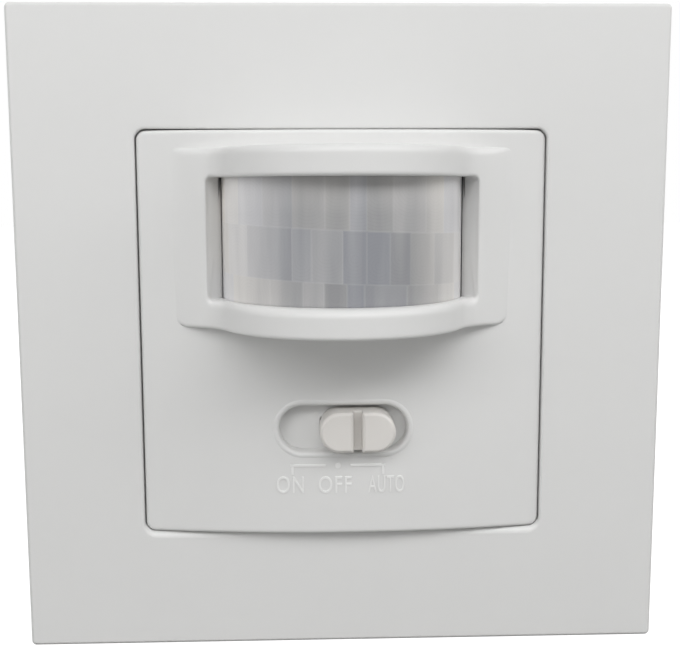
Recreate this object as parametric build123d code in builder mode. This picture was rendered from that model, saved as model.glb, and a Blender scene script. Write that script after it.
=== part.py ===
from build123d import *
from math import sqrt
import os

# Motion sensor light switch for a round wall box, in millimetres.
# X runs to the right, Z up, and the wall is the plane Y = 0 with the room on its minus Y side.
# A height counts from the wall into the room, so what lies in the wall box has a height below zero.
# Every front and back value below is such a height.

# Cover frame
frame_side = 80.0
frame_front = 9.5
frame_wall = 2.0
frame_skirt_wall = 1.8
frame_edge_bevel = 0.3
frame_corner_radius = 0.6
frame_opening_bevel = 0.5
frame_lip_wall = 1.3
frame_rib_wall = 1.2
frame_rib_depth = 3.0
frame_rib_spacing = 32.0
insert_gap = 0.4

# Hooks of the cover frame, which catch behind the yoke
hook_width = 5.0
hook_spacing = 17.0
hook_reach = 1.4
hook_barb = 0.8
hook_barb_depth = 0.9
hook_gap = 0.25

# Front panel, the crowned insert
insert_side = 50.0
insert_corner_radius = 1.8
insert_edge_bevel = 0.35
insert_wall = 1.8
insert_skirt_wall = 1.6
crown_radius = 140.0
crown_rise = 1.8

# Bowed hood of the front panel and its window
hood_reach = 14.0
hood_radius = 15.2
hood_height = 21.6
hood_margin = 2.2
hood_flank_inset = 0.6
hood_wing = 4.3
hood_end_rise = 1.2
hood_flank_radius = 3.0
hood_corner_radius = 1.5
hood_edge_bevel = 0.6
hood_wall = 2.1
rail_height = 3.4
sill_bevel = 0.6
lintel_bevel = 0.3
window_inset = 2.5
cheek_lap = 0.75

# Lens sheet and the retainer that holds it from behind
lens_inset = 0.2
lens_wall = 0.7
lens_lap = 1.4
lens_gap = 0.1
lens_end_depth = 1.5
retainer_band = 1.2
retainer_flange = 1.0
retainer_margin = 2.0
retainer_lap = 1.6
retainer_jamb = 0.6
retainer_view_lap = 0.3
stake_side = 2.0
stake_offset = 2.6
stake_reach = 0.6
stake_gap = 0.1

# Selector slot in the front panel
slot_drop = 11.6
slot_end_play = 1.6
slot_side_gap = 0.4
slot_chamfer = 0.45
slot_depth = 1.9
slot_floor = 1.2
slot_well_wall = 1.2
selector_step = 1.7

# Selector knob, carriage and slide switch
knob_length = 9.3
knob_height = 5.0
knob_rise = 2.5
knob_edge_bevel = 0.3
knob_groove = 1.1
knob_groove_depth = 1.5
slide_gap = 0.1
stem_width = 2.0
stem_height = 1.8
stem_socket_gap = 0.05
carriage_length = 13.0
carriage_height = 6.6
carriage_plate = 1.0
carriage_fork_width = 5.0
carriage_fork_height = 4.6
carriage_fork_depth = 2.0
slit_gap = 0.15
guide_gap = 0.15
guide_wall = 1.1
guide_length = 20.0
switch_clearance = 0.5
switch_wall = 0.8
switch_slot_gap = 0.2
lever_width = 2.0
lever_height = 2.0
lever_play = 0.4
lever_base_length = 6.0
lever_base_height = 4.4
lever_base_depth = 1.4
lever_base_end_play = 0.9
lever_base_side_play = 0.3
lever_fork_gap = 0.1

# Mounting yoke, a square of pressed steel
yoke_margin = 4.5
yoke_thickness = 1.2
yoke_corner_radius = 4.0
yoke_gap = 0.25
box_screw_spacing = 60.0
box_screw_hole_radius = 2.1
levelling_slot_length = 9.0
levelling_slot_width = 3.8

# Rear housing, the tub that sinks into the wall box
tub_flange_width = 2.5
tub_chamfer = 7.0
tub_wall = 1.8
tub_flange = 1.6
tub_back = -24.0
bay_top = -10.2
bay_front = -12.0
post_width = 2.0
post_height = 5.0
post_spacing = 14.0
post_lap = 0.4

# Inner cover between the tub and the front panel
cover_gap = 0.2
cover_plate = 1.4
cover_corner_radius = 1.5
cover_rib_length = 24.0
cover_rib_wall = 1.4
cover_rib_gap = 0.1
snap_width = 8.0
snap_height = 0.9
snap_depth = 0.5
snap_gap = 0.2
cover_hole_gap = 0.3
peg_side = 2.2
peg_spacing_x = 34.0
peg_spacing_z = 12.0

# Screws that clamp inner cover, tub and yoke together
housing_screw_margin = 2.4
housing_screw_radius = 0.95
housing_screw_head_radius = 2.0
housing_screw_head = 1.3
housing_screw_reach = 0.8
housing_screw_gap = 0.2
yoke_thread_gap = 0.05

# Sensor board and what it carries
board_thickness = 1.6
board_gap = 0.3
sensor_board_front = 0.4
pir_radius = 4.1
pir_base_radius = 4.6
pir_base = 0.6
pir_clearance = 0.5
pir_spacer = 1.8
pir_spacer_side = 6.4
pir_window_width = 4.0
pir_window_height = 3.0
pir_window_depth = 0.5
pir_window_gap = 0.05
light_sensor_across = 9.3
light_sensor_drop = 5.8
light_sensor_radius = 1.5
light_sensor_height = 5.2
trimmer_place = 14.6
trimmer_drop = 12.2
trimmer_side = 6.6
trimmer_depth = 2.3
trimmer_corner = 0.5
rotor_radius = 2.4
rotor_seat_depth = 0.8
rotor_rise = 1.2
rotor_gap = 0.06
rotor_slot_width = 0.7
rotor_slot_depth = 0.6
rotor_slot_length = 3.6
chip_place = (-10.5, 1.5)
chip_length = 8.6
chip_width = 4.0
chip_depth = 1.5
chip_edge = 0.2

# Power board and what it carries
power_board_gap = 0.5
power_post_side = 4.0
power_post_height = 1.2
power_post_places = ((-15.6, -5.2), (15.8, 3.6))
relay_place = (-8.0, 8.0)
relay_size = (19.0, 15.4, 15.6)
relay_edge = 0.6
film_place = (8.0, -3.2)
film_size = (17.0, 6.6, 13.0)
film_edge = 0.8
can_place = (12.0, 10.0)
can_radius = 4.0
can_height = 12.0
varistor_place = (-8.4, -4.0)
varistor_radius = 3.6
varistor_thickness = 3.2
varistor_stand = 1.4
varistor_lead_side = 0.6
varistor_lead_spacing = 4.6
bridge_place = (5.2, 16.8)
bridge_size = (6.4, 3.6, 7.0)
bridge_corner = 0.8

# Pin link between the two boards
link_place = (4.6, 7.0)
link_pitch = 2.54
link_pins_count = 5
link_width = 2.4
link_spacer = 2.4
link_pin_side = 0.64
link_pin_gap = 0.1
link_socket_depth = 8.4
link_overlap = 3.0
link_hole_spare = 0.5

# Terminal block with three rising clamps
pole_names = ("live", "neutral", "load")
pole_pitch = 9.0
block_end_wall = 1.85
block_edge = 0.5
block_partition = 1.0
chamber_floor = 1.6
chamber_front_wall = 1.1
cage_width = 5.7
cage_length = 5.0
cage_wall = 0.9
cage_nut = 1.3
cage_gap = 0.3
cage_headroom = 3.2
cage_travel = 2.0
cage_end_gap = 0.1
wire_gap = 2.2
contact_side_gap = 0.35
contact_thickness = 0.8
contact_play = 0.4
contact_slot_gap = 0.15
wire_hole_side = 2.1
wire_mouth = 0.5
terminal_screw_radius = 1.45
terminal_screw_gap = 0.08
terminal_head_radius = 2.4
terminal_head = 1.5
terminal_head_gap = 0.1
terminal_head_sink = 0.3
terminal_well_gap = 0.2
terminal_tip_gap = 0.2
driver_slot_width = 0.8
driver_slot_depth = 0.7

# How far a cut runs past the face that it opens, and how near counts as lying on an edge line
overrun = 1.0
pick_band = 0.05

# Heights and half sizes that follow from the values above
insert_half = insert_side / 2
crown_top = frame_front + crown_rise
opening_side = insert_side + 2 * insert_gap
opening_half = opening_side / 2
yoke_front = yoke_thickness
flange_front = yoke_front + tub_flange
insert_seat = flange_front
hollow_side = insert_side - 2 * insert_skirt_wall
yoke_side = frame_side - 2 * yoke_margin
hood_top = insert_half - hood_margin
hood_centre = hood_top - hood_height / 2
hood_flank = hood_radius - hood_flank_inset
hood_half_width = hood_flank + hood_wing
hood_apex = frame_front + hood_reach
hood_axis = hood_apex - hood_radius
hood_flank_height = hood_axis + sqrt(hood_radius**2 - hood_flank**2)
hood_end_height = frame_front + hood_end_rise
window_height = hood_height - 2 * rail_height
window_top = hood_centre + window_height / 2
window_bottom = hood_centre - window_height / 2
lens_radius = hood_radius - lens_inset
lens_axis = hood_apex - hood_wall - lens_gap - lens_radius
lens_end_height = frame_front - lens_end_depth
lens_end_half = sqrt(lens_radius**2 - (lens_end_height - lens_axis) ** 2)
window_front_half = hood_half_width - window_inset
window_back_half = lens_end_half - cheek_lap
lens_height = window_height + 2 * lens_lap
lens_top = hood_centre + lens_height / 2
retainer_front = lens_end_height - lens_gap
retainer_back = retainer_front - retainer_flange
retainer_radius = lens_radius - lens_wall - lens_gap
retainer_view_half = retainer_radius - retainer_band - retainer_jamb
stake_place = lens_radius + stake_offset
retainer_half_width = stake_place + retainer_margin
stake_back = retainer_back - stake_reach
slot_level = -slot_drop
slot_length = knob_length + 2 * selector_step + 2 * slot_end_play
slot_height = knob_height + 2 * slot_side_gap
slot_floor_front = crown_top - slot_depth
slot_floor_back = slot_floor_front - slot_floor
knob_back = slot_floor_front + slide_gap
knob_front = crown_top + knob_rise
carriage_front = slot_floor_back - slide_gap
carriage_back = carriage_front - carriage_plate
sensor_board_back = sensor_board_front - board_thickness
switch_front = carriage_back - carriage_fork_depth - switch_clearance
switch_length = lever_base_length + 2 * (selector_step + lever_base_end_play + switch_wall)
switch_height = lever_base_height + 2 * (lever_base_side_play + switch_wall)
cover_front = flange_front + cover_plate
cover_side = hollow_side - 2 * cover_gap
cover_rib_front = retainer_back - cover_rib_gap
snap_centre = (cover_front + cover_rib_front) / 2
housing_screw_spacing = cover_side - 2 * housing_screw_margin
tub_side = insert_side - 2 * tub_flange_width
tub_floor = tub_back + tub_wall
tub_inner_half = tub_side / 2 - tub_wall
bay_wall_top = bay_top + tub_wall
bay_wall_front = bay_front + tub_wall
power_board_back = tub_floor + power_post_height
power_board_front = power_board_back + board_thickness
power_board_width = 2 * (tub_inner_half - post_width - power_board_gap)
power_board_bottom = bay_wall_top + power_board_gap
power_board_height = tub_inner_half - power_board_bottom
power_board_middle = (tub_inner_half + power_board_bottom) / 2
pir_back = sensor_board_front + pir_spacer
pir_front = retainer_back - pir_clearance
pir_place = (0, hood_centre)
light_sensor_place = (light_sensor_across, hood_centre - light_sensor_drop)
link_pin_front = sensor_board_back - link_spacer
link_socket_front = power_board_front + link_socket_depth
link_pin_back = link_socket_front - link_overlap
link_length = link_pitch * link_pins_count
chamber_width = cage_width + 2 * cage_gap
block_length = 2 * (pole_pitch + block_end_wall) + chamber_width
block_height = chamber_floor + cage_gap + cage_length + cage_headroom
block_middle = bay_top - block_height / 2
block_bottom = bay_top - block_height
chamber_bottom = block_bottom + chamber_floor
chamber_front = bay_front - chamber_front_wall
cage_bottom = chamber_bottom + cage_gap
cage_middle = cage_bottom + cage_length / 2
cage_front = chamber_front - cage_gap
wire_face = cage_front - cage_wall
contact_front = wire_face - wire_gap
contact_back = contact_front - contact_thickness
contact_width = cage_width - 2 * (cage_wall + contact_side_gap)
nut_front = contact_back - contact_play
cage_back = nut_front - cage_nut
chamber_back = cage_back - cage_travel - cage_end_gap
terminal_tip = contact_back - terminal_tip_gap
terminal_head_front = chamber_back - block_partition - terminal_head_gap
terminal_head_back = terminal_head_front - terminal_head
block_back = terminal_head_back - terminal_head_sink


def wall_plane(height):
    """Plane parallel to the wall: its X runs right, its Y up, and extrusions come forwards."""
    return Plane.XZ.offset(height)


def level_plane(level):
    """Level plane: its X runs right, its Y forwards from the wall, and extrusions go down."""
    return Plane(origin=(0, 0, level), x_dir=(1, 0, 0), z_dir=(0, 0, -1))


def crown_height(across):
    """Height of the front panel's crowned face at a distance from its middle."""
    return crown_top - crown_radius + sqrt(crown_radius**2 - across**2)


def wing_height(across):
    """Height of the hood's sloping wing at a distance from the middle."""
    slope = (hood_end_height - hood_flank_height) / (hood_half_width - hood_flank)
    return hood_flank_height + slope * (across - hood_flank)


def cheek_half(height):
    """Half the window's width between its splayed cheeks at a height."""
    front_height = wing_height(window_front_half)
    splay = (window_front_half - window_back_half) / (front_height - lens_end_height)
    return window_back_half + splay * (height - lens_end_height)


def crown_outline(half_width, depth, back, level):
    """Plan of what lies behind the crown, less a depth, down to a back height."""
    side = crown_height(half_width) - depth
    with BuildSketch(level_plane(level)) as outline:
        with BuildLine():
            ThreePointArc((-half_width, side), (0, crown_top - depth), (half_width, side))
            Polyline((half_width, side), (half_width, back), (-half_width, back), (-half_width, side))
        make_face()
    return outline.sketch


def bow_outline(radius, level):
    """Half disc in plan about the upright axis of the lens, bulging forwards."""
    with BuildSketch(level_plane(level)) as outline:
        with BuildLine():
            ThreePointArc((-radius, lens_axis), (0, lens_axis + radius), (radius, lens_axis))
            Line((radius, lens_axis), (-radius, lens_axis))
        make_face()
    return outline.sketch


def tub_outline(offset, height):
    """Outline of the tub, a square with cut corners, grown by an offset, parallel to the wall."""
    with BuildSketch(wall_plane(height)) as outline:
        Rectangle(tub_side + 2 * offset, tub_side + 2 * offset)
        chamfer(outline.vertices(), tub_chamfer + (2 - sqrt(2)) * offset)
    return outline.sketch


def window_outline(level):
    """Plan of the window's opening, which widens forwards between its cheeks."""
    back = lens_axis + lens_wall
    front = hood_apex + overrun
    with BuildSketch(level_plane(level)) as outline:
        with BuildLine():
            Polyline(
                (-cheek_half(back), back),
                (-cheek_half(front), front),
                (cheek_half(front), front),
                (cheek_half(back), back),
                close=True,
            )
        make_face()
    return outline.sketch


def add_block(width, height, back, front, place=(0, 0), mode=Mode.ADD):
    """Straight block between two heights, centred on a place to the right and up."""
    with BuildSketch(wall_plane(back)) as outline:
        with Locations(place):
            Rectangle(width, height)
    extrude(outline.sketch, amount=front - back, mode=mode)


def add_rods(radius, back, front, places=((0, 0),), mode=Mode.ADD):
    """Round rods between two heights, one on each place."""
    with BuildSketch(wall_plane(back)) as outline:
        with Locations(*places):
            Circle(radius)
    extrude(outline.sketch, amount=front - back, mode=mode)


def add_slot(length, height, back, front, place=(0, 0), mode=Mode.ADD):
    """Block with half-round ends between two heights."""
    with BuildSketch(wall_plane(back)) as outline:
        with Locations(place):
            SlotOverall(length, height)
    extrude(outline.sketch, amount=front - back, mode=mode)


def save(piece, name):
    """Labels a piece and writes it under its own name."""
    piece.part.label = name
    export_step(piece.part, f"parts/{name}.step")


os.makedirs("parts", exist_ok=True)


# Cover frame: a hollow square moulding with a crisp outer edge and a bevelled opening
frame_cavity_half = frame_side / 2 - frame_skirt_wall
frame_lip_half = opening_half + frame_lip_wall
frame_cavity_front = frame_front - frame_wall
with BuildPart() as cover_frame:
    with BuildSketch(wall_plane(0)):
        RectangleRounded(frame_side, frame_side, frame_corner_radius)
        RectangleRounded(
            opening_side, opening_side, insert_corner_radius + insert_gap, mode=Mode.SUBTRACT
        )
    extrude(amount=frame_front)
    chamfer(cover_frame.faces().sort_by(Axis.Y)[0].outer_wire().edges(), frame_edge_bevel)
    chamfer(cover_frame.faces().sort_by(Axis.Y)[0].inner_wires()[0].edges(), frame_opening_bevel)
    with BuildSketch(wall_plane(0)):
        Rectangle(2 * frame_cavity_half, 2 * frame_cavity_half)
        RectangleRounded(
            2 * frame_lip_half,
            2 * frame_lip_half,
            insert_corner_radius + insert_gap + frame_lip_wall,
            mode=Mode.SUBTRACT,
        )
    extrude(amount=frame_cavity_front, mode=Mode.SUBTRACT)
    # The lip round the opening stands on the yoke
    add_block(
        2 * frame_lip_half + overrun,
        2 * frame_lip_half + overrun,
        -overrun,
        yoke_front,
        mode=Mode.SUBTRACT,
    )
    # Stiffening ribs from lip to skirt, two on each side
    with BuildSketch(wall_plane(frame_cavity_front - frame_rib_depth)):
        with PolarLocations((frame_lip_half + frame_cavity_half) / 2, 4):
            with Locations((0, frame_rib_spacing / 2), (0, -frame_rib_spacing / 2)):
                Rectangle(frame_cavity_half - frame_lip_half + frame_lip_wall, frame_rib_wall)
    extrude(amount=frame_rib_depth)
    # Hooks above and below, whose barbs catch behind the yoke
    for side in (-1, 1):
        for across in (-hook_spacing / 2, hook_spacing / 2):
            hook_middle = opening_half + frame_lip_wall / 2
            barb_middle = opening_half + (frame_lip_wall + hook_barb) / 2
            barb_front = hook_barb_depth - hook_reach
            hook_place = (across, side * hook_middle)
            barb_place = (across, side * barb_middle)
            add_block(hook_width, frame_lip_wall, -hook_reach, yoke_front + frame_lip_wall, hook_place)
            add_block(hook_width, frame_lip_wall + hook_barb, -hook_reach, barb_front, barb_place)
save(cover_frame, "cover_frame")

# Hood: the bowed brow over the lens, with two sloping wings and a window with splayed cheeks
hood_root = crown_height(hood_half_width) - insert_wall
with BuildPart() as hood:
    with BuildSketch(level_plane(hood_top)) as hood_plan:
        with BuildLine():
            ThreePointArc(
                (-hood_flank, hood_flank_height), (0, hood_apex), (hood_flank, hood_flank_height)
            )
            Polyline(
                (hood_flank, hood_flank_height),
                (hood_half_width, hood_end_height),
                (hood_half_width, hood_root),
                (-hood_half_width, hood_root),
                (-hood_half_width, hood_end_height),
                (-hood_flank, hood_flank_height),
            )
        make_face()
        flanks = hood_plan.vertices().filter_by(lambda corner: abs(abs(corner.X) - hood_flank) < pick_band)
        fillet(flanks, hood_flank_radius)
    extrude(amount=hood_height)
    fillet(hood.edges().filter_by(Axis.Y), hood_corner_radius)
    # Every edge round the front is broken, but not the seams on it or the root inside the panel
    inner_half = hood_half_width - pick_band
    seams = hood.edges().filter_by(Axis.Z).filter_by_position(Axis.X, -inner_half, inner_half)
    sides = hood.edges().filter_by(Axis.Y)
    root = hood.edges().filter_by_position(Axis.Y, -hood_root - pick_band, -hood_root + pick_band)
    chamfer(hood.edges() - seams - sides - root, hood_edge_bevel)
    extrude(window_outline(window_top), amount=window_height, mode=Mode.SUBTRACT)
    for level, bevel in ((window_bottom, sill_bevel), (window_top, lintel_bevel)):
        level_edges = hood.edges().filter_by_position(Axis.Z, level - pick_band, level + pick_band)
        front_edges = level_edges.filter_by(
            lambda edge: -edge.center().Y > wing_height(abs(edge.center().X)) - pick_band
        )
        chamfer(front_edges, bevel)

# Hollow of the front panel, which follows the crown at the wall's thickness
hollow_half = insert_half - insert_skirt_wall
with BuildPart() as panel_hollow:
    add_block(2 * hollow_half, 2 * hollow_half, insert_seat - overrun, crown_top)
    extrude(
        crown_outline(insert_side, insert_wall, insert_seat - insert_side, insert_side),
        amount=2 * insert_side,
        mode=Mode.INTERSECT,
    )

# Front panel: the crowned insert with its hood, lens pocket, selector slot, skirt and snap nubs
inside_wall = crown_top - insert_wall / 2
slit_length = stem_width + 2 * selector_step + 2 * slit_gap
guide_offset = carriage_height / 2 + guide_gap + guide_wall / 2
with BuildPart() as front_panel:
    with BuildSketch(wall_plane(insert_seat)):
        RectangleRounded(insert_side, insert_side, insert_corner_radius)
    extrude(amount=crown_top)
    extrude(
        crown_outline(insert_side, 0, insert_seat - insert_side, insert_side),
        amount=2 * insert_side,
        mode=Mode.INTERSECT,
    )
    chamfer(front_panel.faces().sort_by(Axis.Y)[0].edges(), insert_edge_bevel)
    add(hood.part)
    add(panel_hollow.part, mode=Mode.SUBTRACT)
    extrude(window_outline(window_top), amount=window_height, mode=Mode.SUBTRACT)
    extrude(
        bow_outline(lens_radius + lens_gap, lens_top + lens_gap),
        amount=lens_height + 2 * lens_gap,
        mode=Mode.SUBTRACT,
    )
    # Well behind the selector slot, its two guides for the carriage, and the stakes of the retainer
    well_length = slot_length + 2 * slot_well_wall
    well_height = slot_height + 2 * slot_well_wall
    add_slot(well_length, well_height, slot_floor_back, inside_wall, (0, slot_level))
    for side in (-1, 1):
        guide_place = (0, slot_level + side * guide_offset)
        add_block(guide_length, guide_wall, carriage_back, inside_wall, guide_place)
    stake_places = [(side * stake_place, hood_centre) for side in (-1, 1)]
    for place in stake_places:
        add_block(stake_side, stake_side, stake_back, hood_root + insert_wall / 2, place)
    # Snap nubs on the four inner faces of the skirt
    nub_depth = snap_depth + insert_skirt_wall / 2
    with BuildSketch(wall_plane(snap_centre - snap_height / 2)):
        with PolarLocations(hollow_half - snap_depth + nub_depth / 2, 4):
            Rectangle(nub_depth, snap_width)
    extrude(amount=snap_height)
    # Selector slot, its bevelled rim and the slit in its floor
    add_slot(
        slot_length,
        slot_height,
        slot_floor_front,
        crown_top + overrun,
        (0, slot_level),
        Mode.SUBTRACT,
    )
    rim_back = crown_height(slot_length / 2) - pick_band
    rim_edges = (
        front_panel.edges()
        .filter_by_position(Axis.Y, -crown_top - pick_band, -rim_back)
        .filter_by_position(Axis.Z, slot_level - slot_height, slot_level + slot_height)
    )
    chamfer(rim_edges, slot_chamfer)
    add_block(
        slit_length,
        stem_height + 2 * slit_gap,
        slot_floor_back - overrun,
        slot_floor_front + overrun,
        (0, slot_level),
        Mode.SUBTRACT,
    )
save(front_panel, "front_panel")

# Fresnel lens: a thin sheet bent into a bow, with its edges behind the window's rails
with BuildPart() as fresnel_lens:
    extrude(bow_outline(lens_radius, lens_top), amount=lens_height)
    extrude(
        bow_outline(lens_radius - lens_wall, lens_top + overrun),
        amount=lens_height + 2 * overrun,
        mode=Mode.SUBTRACT,
    )
    add_block(
        2 * lens_radius + overrun,
        lens_height + overrun,
        lens_axis - overrun,
        lens_end_height,
        (0, hood_centre),
        Mode.SUBTRACT,
    )
save(fresnel_lens, "fresnel_lens")

# Lens retainer: a bow behind the lens on a flange that is staked to the front panel
retainer_height = lens_height - 2 * lens_gap
with BuildPart() as lens_retainer:
    extrude(bow_outline(retainer_radius, lens_top - lens_gap), amount=retainer_height)
    extrude(
        bow_outline(retainer_radius - retainer_band, lens_top + overrun),
        amount=lens_height + 2 * overrun,
        mode=Mode.SUBTRACT,
    )
    add_block(
        2 * lens_radius + overrun,
        lens_height + overrun,
        lens_axis - overrun,
        retainer_back,
        (0, hood_centre),
        Mode.SUBTRACT,
    )
    add_block(
        2 * retainer_half_width,
        lens_height + 2 * retainer_lap,
        retainer_back,
        retainer_front,
        (0, hood_centre),
    )
    add_block(
        2 * retainer_view_half,
        window_height - 2 * retainer_view_lap,
        retainer_back - overrun,
        hood_apex,
        (0, hood_centre),
        Mode.SUBTRACT,
    )
    stake_hole_side = stake_side + 2 * stake_gap
    for place in stake_places:
        add_block(
            stake_hole_side,
            stake_hole_side,
            retainer_back - overrun,
            retainer_front + overrun,
            place,
            Mode.SUBTRACT,
        )
save(lens_retainer, "lens_retainer")

# Selector knob: a pill with a thumb groove and a stem that runs through the slit
with BuildPart() as selector_knob:
    add_slot(knob_length, knob_height, knob_back, knob_front, (selector_step, slot_level))
    add_block(
        knob_groove,
        knob_height + overrun,
        knob_front - knob_groove_depth,
        knob_front + overrun,
        (selector_step, slot_level),
        Mode.SUBTRACT,
    )
    chamfer(selector_knob.faces().filter_by(Axis.Y).group_by(Axis.Y)[0].edges(), knob_edge_bevel)
    add_block(
        stem_width,
        stem_height,
        carriage_back + slide_gap,
        knob_back + slide_gap,
        (selector_step, slot_level),
    )
save(selector_knob, "selector_knob")

# Selector carriage: the plate behind the slit that holds the knob's stem and grips the lever
with BuildPart() as selector_carriage:
    add_block(
        carriage_length, carriage_height, carriage_back, carriage_front, (selector_step, slot_level)
    )
    add_block(
        carriage_fork_width,
        carriage_fork_height,
        carriage_back - carriage_fork_depth,
        carriage_back,
        (selector_step, slot_level),
    )
    add_block(
        stem_width + 2 * stem_socket_gap,
        stem_height + 2 * stem_socket_gap,
        carriage_back - overrun,
        carriage_front + overrun,
        (selector_step, slot_level),
        Mode.SUBTRACT,
    )
    add_block(
        lever_width + 2 * lever_fork_gap,
        lever_height + 2 * lever_fork_gap,
        carriage_back - carriage_fork_depth - overrun,
        carriage_back,
        (selector_step, slot_level),
        Mode.SUBTRACT,
    )
save(selector_carriage, "selector_carriage")

# Slide switch: a case on the sensor board with a slot for its lever
with BuildPart() as slide_switch_case:
    add_block(switch_length, switch_height, sensor_board_front, switch_front, (0, slot_level))
    add_block(
        switch_length - 2 * switch_wall,
        switch_height - 2 * switch_wall,
        sensor_board_front - overrun,
        switch_front - switch_wall,
        (0, slot_level),
        Mode.SUBTRACT,
    )
    add_block(
        lever_width + 2 * selector_step + 2 * switch_slot_gap,
        lever_height + 2 * switch_slot_gap,
        sensor_board_front,
        switch_front + overrun,
        (0, slot_level),
        Mode.SUBTRACT,
    )
save(slide_switch_case, "slide_switch_case")

lever_base_front = switch_front - switch_wall - slide_gap
with BuildPart() as slide_switch_lever:
    add_block(
        lever_base_length,
        lever_base_height,
        lever_base_front - lever_base_depth,
        lever_base_front,
        (selector_step, slot_level),
    )
    add_block(
        lever_width,
        lever_height,
        lever_base_front,
        carriage_back - lever_play,
        (selector_step, slot_level),
    )
save(slide_switch_lever, "slide_switch_lever")

# Mounting yoke: the pressed steel square that is screwed over the wall box
housing_screw_half = housing_screw_spacing / 2
housing_screw_places = [(side * housing_screw_half, -side * housing_screw_half) for side in (-1, 1)]
with BuildPart() as mounting_yoke:
    with BuildSketch(wall_plane(0)):
        RectangleRounded(yoke_side, yoke_side, yoke_corner_radius)
        with Locations((-box_screw_spacing / 2, 0), (box_screw_spacing / 2, 0)):
            Circle(box_screw_hole_radius, mode=Mode.SUBTRACT)
        with Locations((0, -box_screw_spacing / 2), (0, box_screw_spacing / 2)):
            SlotOverall(levelling_slot_length, levelling_slot_width, mode=Mode.SUBTRACT)
        with GridLocations(hook_spacing, 2 * opening_half + frame_lip_wall, 2, 2):
            Rectangle(hook_width + 2 * hook_gap, frame_lip_wall + 2 * hook_gap, mode=Mode.SUBTRACT)
        with Locations(*housing_screw_places):
            Circle(housing_screw_radius + yoke_thread_gap, mode=Mode.SUBTRACT)
    extrude(amount=yoke_front)
    extrude(tub_outline(yoke_gap, -overrun), amount=yoke_front + 2 * overrun, mode=Mode.SUBTRACT)
save(mounting_yoke, "mounting_yoke")

# Rear housing: a flanged tub with a bay for the terminals below
with BuildPart() as tub_well:
    extrude(tub_outline(-tub_wall, tub_floor), amount=bay_wall_front - tub_floor)
    add_block(
        tub_side,
        tub_side,
        tub_floor - overrun,
        bay_wall_front + overrun,
        (0, bay_wall_top - tub_side / 2),
        Mode.SUBTRACT,
    )

pole_places = [(number - 1) * pole_pitch for number in range(len(pole_names))]
with BuildPart() as rear_housing:
    with BuildSketch(wall_plane(yoke_front)):
        RectangleRounded(insert_side, insert_side, insert_corner_radius)
    extrude(amount=tub_flange)
    extrude(tub_outline(0, tub_back), amount=flange_front - tub_back)
    add_block(
        tub_side + overrun,
        tub_side,
        tub_back - overrun,
        bay_front,
        (0, bay_top - tub_side / 2),
        Mode.SUBTRACT,
    )
    extrude(
        tub_outline(-tub_wall, bay_wall_front),
        amount=flange_front - bay_wall_front,
        mode=Mode.SUBTRACT,
    )
    add(tub_well.part, mode=Mode.SUBTRACT)
    # Posts that carry the sensor board and stubs that carry the power board
    for side in (-1, 1):
        for up in (-1, 1):
            post_middle = tub_inner_half - (post_width - post_lap) / 2
            post_place = (side * post_middle, up * post_spacing / 2)
            add_block(
                post_width + post_lap, post_height, tub_floor - post_lap, sensor_board_back, post_place
            )
    for place in power_post_places:
        add_block(power_post_side, power_post_side, tub_floor - post_lap, power_board_back, place)
    # Holes for the two clamping screws and for the three contacts
    add_rods(
        housing_screw_radius + housing_screw_gap,
        yoke_front - overrun,
        flange_front + overrun,
        housing_screw_places,
        Mode.SUBTRACT,
    )
    for across in pole_places:
        add_block(
            contact_width + 2 * contact_slot_gap,
            tub_wall + 2 * overrun,
            contact_back - contact_slot_gap,
            contact_front + contact_slot_gap,
            (across, (bay_top + bay_wall_top) / 2),
            Mode.SUBTRACT,
        )
save(rear_housing, "rear_housing")

# Inner cover: the plate that closes the tub and that the front panel snaps onto
trimmer_places = {
    "time": (-trimmer_place, -trimmer_drop),
    "lux": (trimmer_place, -trimmer_drop),
}
cover_half = cover_side / 2
groove_depth = snap_depth + snap_gap
with BuildPart() as inner_cover:
    with BuildSketch(wall_plane(flange_front)):
        RectangleRounded(cover_side, cover_side, cover_corner_radius)
    extrude(amount=cover_plate)
    # Four ribs that fill the skirt, each with a groove for the panel's snap nub
    with BuildSketch(wall_plane(cover_front)):
        with PolarLocations(cover_half - cover_rib_wall / 2, 4):
            Rectangle(cover_rib_wall, cover_rib_length)
    extrude(amount=cover_rib_front - cover_front)
    with BuildSketch(wall_plane(snap_centre - snap_height / 2 - snap_gap)):
        with PolarLocations(hollow_half - groove_depth / 2, 4):
            Rectangle(groove_depth, snap_width + 2 * snap_gap)
    extrude(amount=snap_height + 2 * snap_gap, mode=Mode.SUBTRACT)
    # Pegs that press the sensor board onto its posts
    with BuildSketch(wall_plane(sensor_board_front)):
        with GridLocations(peg_spacing_x, peg_spacing_z, 2, 2):
            Rectangle(peg_side, peg_side)
    extrude(amount=flange_front + cover_plate / 2 - sensor_board_front)
    # Openings for the sensors, the trimmers, the slide switch and the clamping screws
    round_openings = (
        (pir_base_radius + cover_hole_gap, [pir_place]),
        (housing_screw_radius + housing_screw_gap, housing_screw_places),
    )
    for radius, places in round_openings:
        add_rods(radius, flange_front - overrun, cover_front + overrun, places, Mode.SUBTRACT)
    square_openings = (
        (2 * light_sensor_radius, 2 * light_sensor_radius, light_sensor_place),
        (2 * rotor_radius, 2 * rotor_radius, trimmer_places["time"]),
        (2 * rotor_radius, 2 * rotor_radius, trimmer_places["lux"]),
        (switch_length, switch_height, (0, slot_level)),
    )
    for width, height, place in square_openings:
        add_block(
            width + 2 * cover_hole_gap,
            height + 2 * cover_hole_gap,
            flange_front - overrun,
            cover_front + overrun,
            place,
            Mode.SUBTRACT,
        )
save(inner_cover, "inner_cover")

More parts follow.
